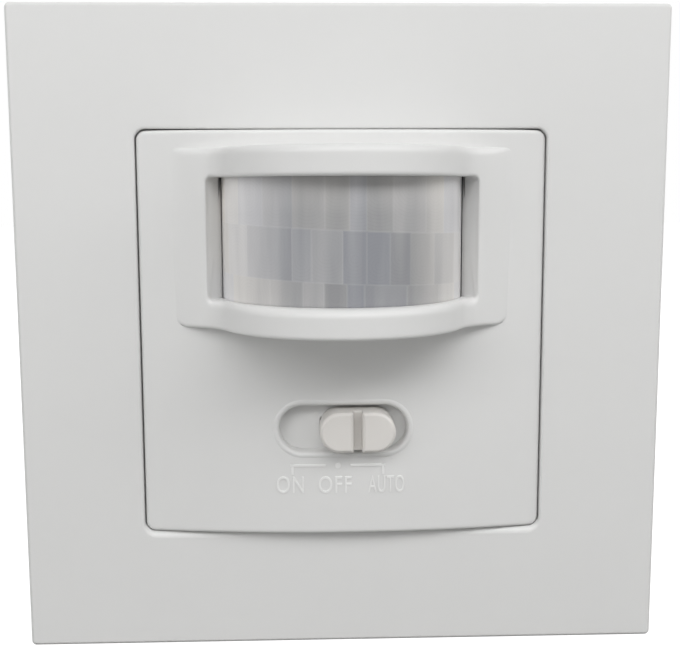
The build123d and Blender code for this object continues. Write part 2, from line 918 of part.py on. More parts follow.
# Two screws that clamp cover and tub onto the yoke
with BuildPart() as housing_screws:
    add_rods(
        housing_screw_head_radius,
        cover_front,
        cover_front + housing_screw_head,
        housing_screw_places,
    )
    add_rods(housing_screw_radius, -housing_screw_reach, cover_front, housing_screw_places)
save(housing_screws, "housing_screws")

# Sensor board, cut to the tub's outline
with BuildPart() as sensor_board:
    extrude(tub_outline(-tub_wall - board_gap, sensor_board_back), amount=board_thickness)
save(sensor_board, "sensor_board")

# Pyroelectric sensor: a metal can on a square spacer, with a filter window
with BuildPart() as pir_can:
    add_rods(pir_base_radius, pir_back, pir_back + pir_base, [pir_place])
    add_rods(pir_radius, pir_back, pir_front, [pir_place])
    add_block(
        pir_window_width,
        pir_window_height,
        pir_front - pir_window_depth,
        pir_front + overrun,
        pir_place,
        Mode.SUBTRACT,
    )
save(pir_can, "pir_can")

with BuildPart() as pir_filter_window:
    add_block(
        pir_window_width - 2 * pir_window_gap,
        pir_window_height - 2 * pir_window_gap,
        pir_front - pir_window_depth,
        pir_front - pir_window_gap,
        pir_place,
    )
save(pir_filter_window, "pir_filter_window")

with BuildPart() as pir_spacer_pad:
    add_block(pir_spacer_side, pir_spacer_side, sensor_board_front, pir_back, pir_place)
save(pir_spacer_pad, "pir_spacer_pad")

# Light sensor, a clear bead
light_sensor_front = sensor_board_front + light_sensor_height
with BuildPart() as light_sensor:
    add_rods(light_sensor_radius, sensor_board_front, light_sensor_front, [light_sensor_place])
save(light_sensor, "light_sensor")

# Trimmers for the time and the light level: a body with a round seat, and a rotor that turns in it
trimmer_front = sensor_board_front + trimmer_depth
rotor_front = trimmer_front + rotor_rise
for purpose, place in trimmer_places.items():
    with BuildPart() as trimmer_body:
        add_block(trimmer_side, trimmer_side, sensor_board_front, trimmer_front, place)
        chamfer(trimmer_body.edges().filter_by(Axis.Y), trimmer_corner)
        add_rods(
            rotor_radius + rotor_gap,
            trimmer_front - rotor_seat_depth,
            trimmer_front + overrun,
            [place],
            Mode.SUBTRACT,
        )
    save(trimmer_body, f"{purpose}_trimmer_body")

    with BuildPart() as trimmer_rotor:
        add_rods(
            rotor_radius, trimmer_front - rotor_seat_depth + rotor_gap, rotor_front, [place]
        )
        for width, height in (
            (rotor_slot_length, rotor_slot_width),
            (rotor_slot_width, rotor_slot_length),
        ):
            add_block(
                width,
                height,
                rotor_front - rotor_slot_depth,
                rotor_front + overrun,
                place,
                Mode.SUBTRACT,
            )
    save(trimmer_rotor, f"{purpose}_trimmer_rotor")

# Controller chip on the sensor board
with BuildPart() as control_chip:
    add_block(chip_length, chip_width, sensor_board_front, sensor_board_front + chip_depth, chip_place)
    chamfer(control_chip.faces().sort_by(Axis.Y)[0].edges(), chip_edge)
save(control_chip, "control_chip")

# Pin link between the boards: a spacer bar, its pins, and the socket that they plug into
link_across, link_level = link_place
pin_places = [
    (link_across, link_level + (number - (link_pins_count - 1) / 2) * link_pitch)
    for number in range(link_pins_count)
]
with BuildPart() as link_spacer_bar:
    add_block(link_width, link_length, link_pin_front, sensor_board_back, link_place)
save(link_spacer_bar, "link_spacer_bar")

with BuildPart() as link_pins:
    for place in pin_places:
        add_block(link_pin_side, link_pin_side, link_pin_back, link_pin_front, place)
save(link_pins, "link_pins")

link_hole_side = link_pin_side + 2 * link_pin_gap
with BuildPart() as link_socket:
    add_block(link_width, link_length, power_board_front, link_socket_front, link_place)
    for place in pin_places:
        add_block(
            link_hole_side,
            link_hole_side,
            link_pin_back - link_hole_spare,
            link_socket_front + overrun,
            place,
            Mode.SUBTRACT,
        )
save(link_socket, "link_socket")

# Power board, which follows the tub's upper corners
with BuildPart() as power_board:
    extrude(tub_outline(-tub_wall - power_board_gap, power_board_back), amount=board_thickness)
    add_block(
        power_board_width,
        power_board_height,
        power_board_back - overrun,
        power_board_front + overrun,
        (0, power_board_middle),
        Mode.INTERSECT,
    )
save(power_board, "power_board")

# Relay and film capacitor: moulded boxes with broken edges
boxes = (
    ("relay", relay_place, relay_size, relay_edge),
    ("film_capacitor", film_place, film_size, film_edge),
)
for name, place, (width, height, depth), edge in boxes:
    with BuildPart() as box:
        add_block(width, height, power_board_front, power_board_front + depth, place)
        chamfer(box.edges().filter_by(Axis.Y), edge)
        chamfer(box.faces().sort_by(Axis.Y)[0].edges(), edge / 2)
    save(box, name)

# Electrolytic capacitor, an upright can
with BuildPart() as electrolytic_capacitor:
    add_rods(can_radius, power_board_front, power_board_front + can_height, [can_place])
save(electrolytic_capacitor, "electrolytic_capacitor")

# Varistor: a dipped disc that stands on its two leads
disc_across, disc_level = varistor_place
disc_height = power_board_front + varistor_stand + varistor_radius
with BuildPart() as varistor:
    with BuildSketch(level_plane(disc_level + varistor_thickness / 2)):
        with Locations((disc_across, disc_height)):
            Circle(varistor_radius)
    extrude(amount=varistor_thickness)
    for side in (-1, 1):
        lead_place = (disc_across + side * varistor_lead_spacing / 2, disc_level)
        add_block(varistor_lead_side, varistor_lead_side, power_board_front, disc_height, lead_place)
save(varistor, "varistor")

# Bridge rectifier: an upright block with one cut corner
with BuildPart() as bridge_rectifier:
    width, height, depth = bridge_size
    add_block(width, height, power_board_front, power_board_front + depth, bridge_place)
    front_edges = bridge_rectifier.faces().sort_by(Axis.Y)[0].edges()
    chamfer(front_edges.sort_by(Axis.X)[0], bridge_corner)
save(bridge_rectifier, "bridge_rectifier")

# Terminal block in the bay: three chambers, their wire holes below and screw wells behind
wire_height = (wire_face + contact_front) / 2
chamber_height = bay_top - chamber_bottom
with BuildPart() as terminal_block:
    add_block(block_length, block_height, block_back, bay_front, (0, block_middle))
    chamfer(terminal_block.edges().filter_by(Axis.Y).group_by(Axis.Z)[0], block_edge)
    for across in pole_places:
        add_block(
            chamber_width,
            chamber_height + overrun,
            chamber_back,
            chamber_front,
            (across, chamber_bottom + (chamber_height + overrun) / 2),
            Mode.SUBTRACT,
        )
    screw_places = [(across, cage_middle) for across in pole_places]
    add_rods(
        terminal_screw_radius + terminal_screw_gap,
        block_back - overrun,
        chamber_back + overrun,
        screw_places,
        Mode.SUBTRACT,
    )
    add_rods(
        terminal_head_radius + terminal_well_gap,
        block_back - overrun,
        terminal_head_front + terminal_head_gap,
        screw_places,
        Mode.SUBTRACT,
    )
    with BuildSketch(level_plane(chamber_bottom + overrun)):
        with Locations(*[(across, wire_height) for across in pole_places]):
            Rectangle(wire_hole_side, wire_hole_side)
    extrude(amount=chamber_floor + 2 * overrun, mode=Mode.SUBTRACT)
    for rim in terminal_block.faces().sort_by(Axis.Z)[0].inner_wires():
        chamfer(rim.edges(), wire_mouth)
save(terminal_block, "terminal_block")

# Contact strips, which run from the chambers through the bay wall down to the power board
contact_bottom = chamber_bottom + contact_slot_gap
contact_top = power_board_bottom + contact_slot_gap + contact_thickness
with BuildPart() as terminal_contacts:
    for across in pole_places:
        add_block(
            contact_width,
            contact_top - contact_bottom,
            contact_back,
            contact_front,
            (across, (contact_top + contact_bottom) / 2),
        )
        add_block(
            contact_width,
            contact_thickness,
            power_board_front,
            contact_back,
            (across, contact_top - contact_thickness / 2),
        )
save(terminal_contacts, "terminal_contacts")

# Clamping screws and the cages that they draw back against the contacts
for pole, place in zip(pole_names, screw_places):
    with BuildPart() as terminal_screw:
        add_rods(terminal_head_radius, terminal_head_back, terminal_head_front, [place])
        add_rods(terminal_screw_radius, terminal_head_front, terminal_tip, [place])
        add_block(
            2 * terminal_head_radius + overrun,
            driver_slot_width,
            terminal_head_back - overrun,
            terminal_head_back + driver_slot_depth,
            place,
            Mode.SUBTRACT,
        )
    save(terminal_screw, f"terminal_screw_{pole}")

    with BuildPart() as terminal_cage:
        add_block(cage_width, cage_length, cage_back, cage_front, place)
        add_block(
            cage_width - 2 * cage_wall,
            cage_length + overrun,
            nut_front,
            wire_face,
            place,
            Mode.SUBTRACT,
        )
        add_rods(
            terminal_screw_radius + terminal_screw_gap,
            cage_back - overrun,
            nut_front + overrun,
            [place],
            Mode.SUBTRACT,
        )
    save(terminal_cage, f"terminal_cage_{pole}")
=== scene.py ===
import random
from math import atan2, cos, degrees, pi, radians, sin, sqrt

import bmesh
import bpy
from mathutils import Matrix, Vector


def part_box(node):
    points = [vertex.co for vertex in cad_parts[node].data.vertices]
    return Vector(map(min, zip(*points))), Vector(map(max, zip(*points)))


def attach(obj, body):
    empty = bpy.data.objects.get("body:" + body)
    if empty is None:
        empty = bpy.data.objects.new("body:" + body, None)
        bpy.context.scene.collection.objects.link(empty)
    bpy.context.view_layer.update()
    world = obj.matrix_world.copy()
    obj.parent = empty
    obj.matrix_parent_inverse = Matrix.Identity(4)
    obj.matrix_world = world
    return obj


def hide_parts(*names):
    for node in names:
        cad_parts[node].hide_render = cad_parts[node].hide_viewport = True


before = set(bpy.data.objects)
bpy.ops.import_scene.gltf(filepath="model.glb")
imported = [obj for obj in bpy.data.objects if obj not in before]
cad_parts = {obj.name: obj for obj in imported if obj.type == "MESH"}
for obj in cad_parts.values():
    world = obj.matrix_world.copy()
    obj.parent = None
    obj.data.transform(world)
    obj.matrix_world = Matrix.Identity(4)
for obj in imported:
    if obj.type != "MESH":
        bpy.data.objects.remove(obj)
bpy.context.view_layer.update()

bl_info = {
    "name": "Motion sensor switch",
    "version": (1, 0, 0),
    "blender": (4, 5, 0),
    "location": "View3D > Sidebar > Switch",
    "description": "Dresses a wall switch with a motion sensor in its finishes and fine details",
    "category": "Object",
}

MM = 0.001

# What the fine details are set out from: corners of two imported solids, and the crown of the front panel's face
FRAME_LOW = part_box("cover_frame")[0]
BLOCK_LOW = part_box("terminal_block")[0]
FRAME_FRONT = -FRAME_LOW.y
CROWN_RADIUS, CROWN_RISE = 140 * MM, 1.8 * MM
WHITE = (1, 1, 1, 1)


def from_screen(red, green, blue):
    """Turns a colour as seen on a screen, from 0 to 255, into the linear values that nodes take."""
    values = []
    for value in (red, green, blue):
        part = value / 255
        values.append(part / 12.92 if part <= 0.04045 else ((part + 0.055) / 1.055) ** 2.4)
    return (*values, 1.0)


def crown_height(across):
    """Height of the panel's crowned face over the wall at a distance from its middle."""
    return FRAME_FRONT + CROWN_RISE - CROWN_RADIUS + sqrt(CROWN_RADIUS**2 - across**2)


# Sizes, colours and numbers that a user would change
def number(name, about, default, **more):
    """A number that a user can change."""
    return bpy.props.FloatProperty(name=name, description=about, default=default, min=0, **more)


def length(name, about, default):
    """A length that a user can change."""
    return number(name, about, default, subtype="DISTANCE", unit="LENGTH")


def shade(name, about, *screen):
    """A colour that a user can change."""
    return bpy.props.FloatVectorProperty(
        name=name, description=about, default=from_screen(*screen)[:3], size=3, min=0, max=1, subtype="COLOR"
    )


class ShellSettings(bpy.types.PropertyGroup):
    """Colours and surface of the white mouldings"""

    frame_color: shade("Cover frame", "Colour of the outer frame", 224, 224, 223)
    panel_color: shade("Front panel", "Colour of the crowned panel and its hood", 224, 224, 223)
    knob_color: shade("Selector knob", "Colour of the sliding knob", 221, 218, 214)
    inner_color: shade("Inner mouldings", "Colour of the tub, inner cover, carriage and block", 236, 236, 233)
    grain_size: length("Grain size", "Distance between the spark texture's bumps", 0.18 * MM)
    grain_depth: length("Grain depth", "Height of the spark texture's bumps", 0.0035 * MM)
    rim_half: length("Panel half width", "Half the width of the front panel at its rim", 25.02 * MM)
    rim_corner: length("Corner radius", "Radius of the front panel's corners", 1.15 * MM)
    gap_width: length("Gap", "Visible gap between the front panel and the frame", 0.16 * MM)
    edge_radius: length("Edge rounding", "How far the moulded edges are rounded", 0.3 * MM)


class LensSettings(bpy.types.PropertyGroup):
    """Sizes and colours of the Fresnel lens"""

    # The sheet's colour is set light to paint light on its sides; the middle colour stands partly for the dark
    # chamber seen through the sheet and partly is painted shade
    color: shade("Lens sheet", "Colour of the milky sheet", 246, 243, 241)
    shadow_color: shade("Lens middle", "Colour where the dark chamber shows through", 148, 149, 153)
    thickness: length("Sheet thickness", "Thickness of the lens sheet", 0.45 * MM)
    facet_relief: length("Facet relief", "How far one facet stands before the next", 0.003 * MM)
    groove_pitch: length("Groove pitch", "Distance between the rings of a facet", 0.4 * MM)
    groove_depth: length("Groove depth", "Depth of the rings of a facet", 0.003 * MM)


class MarkSettings(bpy.types.PropertyGroup):
    """Sizes and colour of the raised marks under the selector"""

    # The marks are the panel's own plastic: this colour is lighter than the panel's, a painted highlight on the
    # raised relief
    color: shade("Marks", "Colour of the letters, lines and dot", 238, 238, 237)
    letter_height: length("Letter height", "Height of the capital letters", 2.15 * MM)
    relief: length("Relief", "How far the marks stand out of the panel", 0.09 * MM)
    line_width: length("Line width", "Width of the lines beside the slot", 0.28 * MM)


class FixingSettings(bpy.types.PropertyGroup):
    """Colours of the metal pieces"""

    steel_color: shade("Zinc plate", "Colour of the plated steel", 190, 193, 198)
    brass_color: shade("Brass", "Colour of the contacts", 206, 172, 96)


class StageSettings(bpy.types.PropertyGroup):
    """Light, floor and camera"""

    key_power: number("Key light", "Power of the soft light above the front", 3.0, unit="POWER")
    fill_power: number("Fill light", "Power of the light from the left", 0.3, unit="POWER")
    back_power: number("Back light", "Power of the light behind", 1.1, unit="POWER")
    sky_level: number("Room light", "Strength of the even light from all round", 0.27, max=4)
    floor_color: shade("Floor", "Colour of the floor", 176, 176, 175)


# Helpers for nodes
class Nodes:
    """Adds nodes to one tree and links them."""

    def __init__(self, tree):
        self.tree = tree
        self.step = 0

    def add(self, kind, values=None, **settings):
        node = self.tree.nodes.new(kind)
        node.location = (self.step % 8 * 190 - 900, 500 - self.step // 8 * 260)
        self.step += 1
        for name, value in settings.items():
            setattr(node, name, value)
        for name, value in (values or {}).items():
            if isinstance(value, bpy.types.NodeSocket):
                self.tree.links.new(value, node.inputs[name])
            else:
                node.inputs[name].default_value = value
        return node

    def math(self, operation, first, second=0.0, clamp=False):
        node = self.add("ShaderNodeMath", {0: first, 1: second}, operation=operation, use_clamp=clamp)
        return node.outputs[0]

    def times(self, first, second):
        return self.math("MULTIPLY", first, second)

    def plus(self, first, second, clamp=False):
        return self.math("ADD", first, second, clamp)

    def ramp(self, value, low, high, start=0.0, end=1.0):
        limits = {"From Min": low, "From Max": high, "To Min": start, "To Max": end}
        return self.add("ShaderNodeMapRange", {"Value": value, **limits}).outputs[0]

    def blend(self, factor, first, second, mode="MIX"):
        node = self.add("ShaderNodeMix", {0: factor, 6: first, 7: second}, data_type="RGBA", blend_type=mode)
        return node.outputs[2]

    def object_place(self):
        return self.add("ShaderNodeTexCoord").outputs["Object"]

    def group(self, tree, **values):
        """Places a group and sets its inputs."""
        return self.add("ShaderNodeGroup", values, node_tree=tree)

    def feed(self, shader, sockets):
        """Links sockets to the shader's own by name."""
        for name, socket in sockets.items():
            self.tree.links.new(socket, shader.inputs[name])

    def bump(self, shader, height, depth, **values):
        """Turns a height into the shader's normal."""
        node = self.add("ShaderNodeBump", {"Height": height, "Distance": depth, "Strength": 1.0, **values})
        self.feed(shader, {"Normal": node.outputs["Normal"]})

    def noise(self, place, scale, detail, roughness):
        values = {"Vector": place, "Scale": scale, "Detail": detail, "Roughness": roughness}
        return self.add("ShaderNodeTexNoise", values).outputs["Fac"]


def shared_group(name, inputs, outputs):
    """Turns a function that draws a node group into one that gives the group, built when first asked for."""

    def wrap(draw):
        def group():
            if name in bpy.data.node_groups:
                return bpy.data.node_groups[name]
            tree = bpy.data.node_groups.new(name, "ShaderNodeTree")
            for label, value in inputs.items():
                socket = tree.interface.new_socket(name=label, in_out="INPUT", socket_type="NodeSocketFloat")
                socket.default_value = value
            for label in outputs:
                kind = "NodeSocketVector" if label == "Normal" else "NodeSocketFloat"
                tree.interface.new_socket(name=label, in_out="OUTPUT", socket_type=kind)
            nodes = Nodes(tree)
            start, end = tree.nodes.new("NodeGroupInput"), tree.nodes.new("NodeGroupOutput")
            start.location, end.location = (-1100, 0), (900, 0)
            nodes.feed(end, draw(nodes, start.outputs))
            return tree

        return group

    return wrap


# What the surface groups put out, the inputs of the grain, and the colour of dust
SURFACE = ("Tone", "Roughness", "Height")
GRAIN = {"Size": 0.18 * MM, "Tone": 0.03, "Roughness": 0.4, "Spread": 0.08}
DUST_COLOR = from_screen(168, 164, 156)


@shared_group("moulded grain", GRAIN, SURFACE)
def moulded_grain(nodes, start):
    """Fine spark texture of a mould, with a slow unevenness of tone and gloss."""
    place = nodes.object_place()
    cells = {"Vector": place, "Scale": nodes.math("DIVIDE", 1.0, start["Size"]), "Smoothness": 0.8}
    fine = nodes.add("ShaderNodeTexVoronoi", cells, feature="SMOOTH_F1").outputs["Distance"]
    pits = nodes.noise(place, nodes.math("DIVIDE", 0.6, start["Size"]), 3.0, 0.6)
    slow = nodes.noise(place, 90.0, 3.0, 0.55)
    flow = nodes.noise(place, 420.0, 2.0, 0.5)
    uneven = nodes.plus(nodes.times(slow, 0.7), nodes.times(flow, 0.3))
    centred = nodes.math("SUBTRACT", uneven, 0.5)
    tone = nodes.plus(1.0, nodes.times(centred, start["Tone"]))
    spread = nodes.times(centred, start["Spread"])
    rough = nodes.plus(start["Roughness"], spread, clamp=True)
    height = nodes.plus(nodes.times(fine, 0.7), nodes.times(pits, 0.6))
    return {"Tone": tone, "Roughness": rough, "Height": height}


@shared_group("handling marks", {"Amount": 0.5, "Scale": 60.0}, ("Gloss", "Dust"))
def handling_marks(nodes, start):
    """Faint smears and hairline scratches that change the gloss, and a little dust on what faces up."""
    place = nodes.object_place()
    scale = start["Scale"]
    smear = nodes.noise(place, scale, 5.0, 0.6)
    turned = {"Vector": place, "Rotation": (0.3, 0.5, 0.9), "Scale": (1, 1, 14)}
    scratched = nodes.add("ShaderNodeMapping", turned).outputs[0]
    lines = nodes.noise(scratched, nodes.times(scale, 9.0), 2.0, 0.4)
    hair = nodes.ramp(lines, 0.66, 0.74)
    patch = nodes.ramp(smear, 0.5, 0.72)
    both = nodes.plus(nodes.times(patch, 0.8), nodes.times(hair, 0.35))
    facing = nodes.add("ShaderNodeNewGeometry").outputs["Normal"]
    upward = nodes.ramp(nodes.add("ShaderNodeSeparateXYZ", {"Vector": facing}).outputs["Z"], 0.6, 1.0)
    specks = nodes.ramp(nodes.noise(place, nodes.times(scale, 40.0), 3.0, 0.7), 0.52, 0.7)
    dust = nodes.times(nodes.times(upward, specks), start["Amount"])
    return {"Gloss": nodes.times(both, start["Amount"]), "Dust": dust}


@shared_group("rolled metal", {"Roughness": 0.35, "Scale": 300.0}, SURFACE)
def rolled_metal(nodes, start):
    """Rolling lines, spangle and blotches of plating for the metal pieces."""
    place = nodes.object_place()
    scale = start["Scale"]
    drawn = nodes.add("ShaderNodeMapping", {"Vector": place, "Scale": (1, 12, 14)}).outputs[0]
    lines = nodes.noise(drawn, scale, 3.0, 0.6)
    cells = {"Vector": place, "Scale": nodes.times(scale, 2.2)}
    spangle = nodes.add("ShaderNodeTexVoronoi", cells).outputs["Color"]
    facet = nodes.add("ShaderNodeSeparateColor", {"Color": spangle}).outputs["Red"]
    blotch = nodes.noise(place, nodes.times(scale, 0.6), 4.0, 0.6)
    mixed = nodes.plus(nodes.times(facet, 0.4), nodes.times(blotch, 0.6))
    tone = nodes.ramp(mixed, 0.2, 0.8, 0.92, 1.06)
    rough = nodes.plus(start["Roughness"], nodes.ramp(blotch, 0.3, 0.7, -0.07, 0.1), clamp=True)
    return {"Tone": tone, "Roughness": rough, "Height": lines}


@shared_group("soft edges", {"Radius": 0.2 * MM}, ("Normal",))
def soft_edges(nodes, start):
    """Normals that round the sharp edges of a solid."""
    return {"Normal": nodes.add("ShaderNodeBevel", {"Radius": start["Radius"]}, samples=6).outputs["Normal"]}


def new_material(name):
    """An empty material with its nodes, its Principled shader and the helper for it."""
    material = bpy.data.materials.new(name)
    material.use_nodes = True
    tree = material.node_tree
    tree.nodes.clear()
    nodes = Nodes(tree)
    shader = nodes.add("ShaderNodeBsdfPrincipled")
    output = nodes.add("ShaderNodeOutputMaterial", {"Surface": shader.outputs[0]})
    shader.location, output.location = (700, 0), (1000, 0)
    return material, nodes, shader


def soft_inside(shader, weight, reach):
    """Lets light into a milky plastic by a little."""
    for name, value in (("Weight", weight), ("Radius", reach), ("Scale", 1.0)):
        shader.inputs[f"Subsurface {name}"].default_value = value


def finished_surface(nodes, shader, color, surface, marks, marks_gloss, depth, edge):
    """Feeds a shader from a surface group, handling marks and soft edges, and returns the toned colour."""
    gloss = nodes.times(marks.outputs["Gloss"], marks_gloss)
    rough = nodes.plus(surface.outputs["Roughness"], gloss, clamp=True)
    nodes.feed(shader, {"Roughness": rough})
    corners = nodes.group(soft_edges(), Radius=edge)
    nodes.bump(shader, surface.outputs["Height"], depth, Normal=corners.outputs["Normal"])
    return nodes.blend(1.0, (*color[:3], 1), surface.outputs["Tone"], "MULTIPLY")


def moulded(
    name, color, roughness, size=0.18 * MM, depth=0.0035 * MM, tone=0.03, wear=0.5, edge=0.2 * MM, soften=0.03
):
    """Moulded plastic: a fine grain, an uneven tone, handling marks and rounded edges."""
    material, nodes, shader = new_material(name)
    grain = nodes.group(moulded_grain(), Size=size, Tone=tone, Roughness=roughness, Spread=0.1)
    marks = nodes.group(handling_marks(), Amount=wear)
    toned = finished_surface(nodes, shader, color, grain, marks, 0.14, depth, edge)
    dusty = nodes.blend(nodes.times(marks.outputs["Dust"], 0.12), toned, DUST_COLOR)
    nodes.feed(shader, {"Base Color": dusty})
    shader.inputs["Specular IOR Level"].default_value = 0.45
    soft_inside(shader, soften, (1.2 * MM, 1.1 * MM, 1.0 * MM))
    return material


def plated(name, color, roughness, scale, depth=0.003 * MM, edge=0.12 * MM):
    """Bare or plated metal with rolling lines and blotches."""
    material, nodes, shader = new_material(name)
    sheet = nodes.group(rolled_metal(), Roughness=roughness, Scale=scale)
    marks = nodes.group(handling_marks(), Amount=0.6, Scale=120.0)
    toned = finished_surface(nodes, shader, color, sheet, marks, 0.12, depth, edge)
    nodes.feed(shader, {"Base Color": toned})
    shader.inputs["Metallic"].default_value = 1.0
    return material


def dress(material, *names):
    """Gives a material to the CAD nodes named."""
    for name in names:
        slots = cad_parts[name].data.materials
        slots.clear()
        slots.append(material)


def finish_piece(piece, material, stands_for=(), body="switch_body"):
    """Gives a new piece its material, hides the nodes that it stands for, and puts it under its body."""
    piece.data.materials.append(material)
    if stands_for:
        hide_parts(*stands_for)
    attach(piece, body)


def new_object(name, data):
    """Puts data into the scene as an object."""
    thing = bpy.data.objects.new(name, data)
    bpy.context.scene.collection.objects.link(thing)
    return thing


def mesh_object(name, mesh, sharp=32, turn_out=True):
    """Puts a mesh into the scene, turns its faces outward and shades its gentle edges smooth."""
    if turn_out:
        bmesh.ops.recalc_face_normals(mesh, faces=mesh.faces)
    data = bpy.data.meshes.new(name)
    mesh.to_mesh(data)
    mesh.free()
    data.shade_smooth()
    data.set_sharp_from_angle(angle=radians(sharp))
    return new_object(name, data)


# Hood of the front panel: bowed brow, sloping wings and window, as the solids have them
HOOD_TOP, HOOD_FOOT, HOOD_SIDE = 22.85 * MM, 1.15 * MM, 19.0 * MM
BOW_RADIUS, BOW_AXIS = 15.2 * MM, 8.3 * MM
WING_START, WING_START_HEIGHT, WING_SLOPE = 14.6 * MM, 12.526 * MM, 0.4247
WING_BEND, WING_REACH = 17.0 * MM, 20.9 * MM
VALLEY_RADIUS = 6.0 * MM
WINDOW_HALF, WINDOW_TOP, WINDOW_FOOT = 16.4 * MM, 19.36 * MM, 4.64 * MM
CHEEK_HALF, CHEEK_BACK, CHEEK_GAP = 15.05 * MM, 9.6 * MM, 0.15 * MM
LENS_RADIUS, LENS_AXIS = 15.0 * MM, 6.3 * MM

# The hood's skin: its thickness and where it fades, its outline, its rounds (the outer one takes at most a share of
# the hood's rise), and where its rings lie
SKIN, SKIN_FADE, SKIN_MIDDLE = 0.06 * MM, 0.4 * MM, 8 * MM
HOOD_CORNER, HOOD_TAPER, HOOD_SKIRT = 1.2 * MM, 0.035, 0.7 * MM
SKIRT_DEPTHS = (0.2 * MM, 0.05 * MM)
EDGE_ROUND, EDGE_ROUND_CHANGE, EDGE_MOST = 0.68 * MM, 0.25 * MM, 0.8
WINDOW_CORNER = 0.7 * MM
SILL_ROUND, LINTEL_ROUND, SIDE_ROUND = 1.0 * MM, 0.45 * MM, 0.3 * MM
FRONT_PARTS = (0.12, 0.24, 0.36, 0.48, 0.6, 0.72, 0.84, 0.93)
CHEEK_PARTS = (0.25, 0.5, 0.75, 1.0)

# The lip round the slot: the slot's size, how wide and proud the lip is, and where it sinks in (reach, drop)
SLOT_HALF, SLOT_RADIUS, SLOT_LEVEL = 7.95 * MM, 2.9 * MM, -11.6 * MM
SLOT_OVER, SLOT_DEEP = 0.05 * MM, 0.75 * MM
SLOT_LIP, SLOT_PROUD = 0.4 * MM, 0.09 * MM
SLOT_RUN_OUT = ((0.6 * MM, 0.01 * MM), (0.72 * MM, 0.05 * MM), (0.8 * MM, SLOT_PROUD + 0.03 * MM))

# The rims at the gap: how far they stand over the faces, sink into them and reach back, and their rounds
RIM_LIFT, RIM_SINK, RIM_BACK = 0.006 * MM, 0.04 * MM, 7.6 * MM
RIM_LEAST_CORNER, RIM_FLAT_PART = 0.2 * MM, 0.4
PANEL_RIM = {"outward": -1, "edge": 0.4 * MM, "foot_edge": 0.0, "reach": 1.8 * MM}
FRAME_LIP = {"outward": 1, "edge": 0.2 * MM, "foot_edge": 0.6 * MM, "reach": 2.2 * MM}


def wing_height(across):
    """Height of the sloping wing's straight run."""
    return WING_START_HEIGHT - WING_SLOPE * (across - WING_START)


def valley():
    """Middle of the round that fills the valley between the brow and its wing."""
    tilt = atan2(WING_SLOPE, 1.0)
    normal = Vector((sin(tilt), cos(tilt)))
    start = Vector((WING_START, WING_START_HEIGHT)) + normal * VALLEY_RADIUS
    along = Vector((cos(tilt), -sin(tilt)))
    offset = start - Vector((0, BOW_AXIS))
    reach = BOW_RADIUS + VALLEY_RADIUS
    half = offset.dot(along)
    step = -half + sqrt(half**2 - offset.length_squared + reach**2)
    return start + along * step, normal


VALLEY_MIDDLE, WING_NORMAL = valley()
VALLEY_START = VALLEY_MIDDLE.x * BOW_RADIUS / (BOW_RADIUS + VALLEY_RADIUS)
VALLEY_END = VALLEY_MIDDLE.x - VALLEY_RADIUS * WING_NORMAL.x


def hood_front(across):
    """Height of the hood's front: brow, valley, wing and its run into the panel."""
    across = abs(across)
    if across < VALLEY_START:
        return BOW_AXIS + sqrt(BOW_RADIUS**2 - across**2)
    if across < VALLEY_END:
        return VALLEY_MIDDLE.y - sqrt(VALLEY_RADIUS**2 - (across - VALLEY_MIDDLE.x) ** 2)
    if across < WING_BEND:
        return wing_height(across)
    run = WING_REACH - WING_BEND
    part = min((across - WING_BEND) / run, 1.0)
    start, end = wing_height(WING_BEND), crown_height(WING_REACH)
    leave = (2 * part**3 - 3 * part**2 + 1) * start - (part**3 - 2 * part**2 + part) * run * WING_SLOPE
    arrive = (3 * part**2 - 2 * part**3) * end - (part**3 - part**2) * run * WING_REACH / CROWN_RADIUS
    return leave + arrive


def hood_skin_front(across):
    """Height of the hood's thin skin, which fades out where the wing runs into the panel."""
    front = hood_front(across)
    fade = min(1.0, (front - crown_height(across)) / SKIN_FADE, (across / SKIN_MIDDLE) ** 2)
    return front + SKIN * fade


def panel_body():
    """The front panel without the outside of its hood, which the skin stands for."""
    mesh = bmesh.new()
    mesh.from_mesh(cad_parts["front_panel"].data)
    outside = []
    for face in mesh.faces:
        middle = face.calc_center_median()
        over = abs(middle.x) < HOOD_SIDE and HOOD_FOOT < middle.z + SKIN and middle.z - SKIN < HOOD_TOP
        if over and -middle.y > crown_height(middle.x) + SKIN:
            outside.append(face)
    bmesh.ops.delete(mesh, geom=outside, context="FACES")
    return mesh_object("panel_body", mesh, turn_out=False)


def quarter_round(steps):
    """Shares of a round edge's radius, point by point: how far in from its side and down from its face."""
    turns = [radians(90 * step / steps) for step in range(steps + 1)]
    return [(1 - cos(turn), 1 - sin(turn)) for turn in turns]


def rounded_ring(half_width, top, foot, radius, along=72, upright=30, corner=9):
    """Points round a rectangle with rounded corners, each with its outward direction, across and up."""
    points = []
    side, high, low = half_width - radius, top - radius, foot + radius
    centres = ((side, high, 0), (-side, high, 90), (-side, low, 180), (side, low, 270))
    for place, (x, z, start) in enumerate(centres):
        for k in range(corner + 1):
            turn = radians(start + 90 * k / corner)
            way = Vector((cos(turn), sin(turn)))
            points.append((Vector((x, z)) + way * radius, way))
        after = centres[(place + 1) % 4]
        leave = points[-1]
        arrive = Vector(after[:2]) + leave[1] * radius
        pieces = along if place % 2 == 0 else upright
        points += [(leave[0].lerp(arrive, k / pieces), leave[1]) for k in range(1, pieces)]
    return points


def band(mesh, first, second):
    """Faces all round between two rings of points."""
    for k in range(len(first)):
        n = (k + 1) % len(first)
        mesh.faces.new((first[k], first[n], second[n], second[k]))


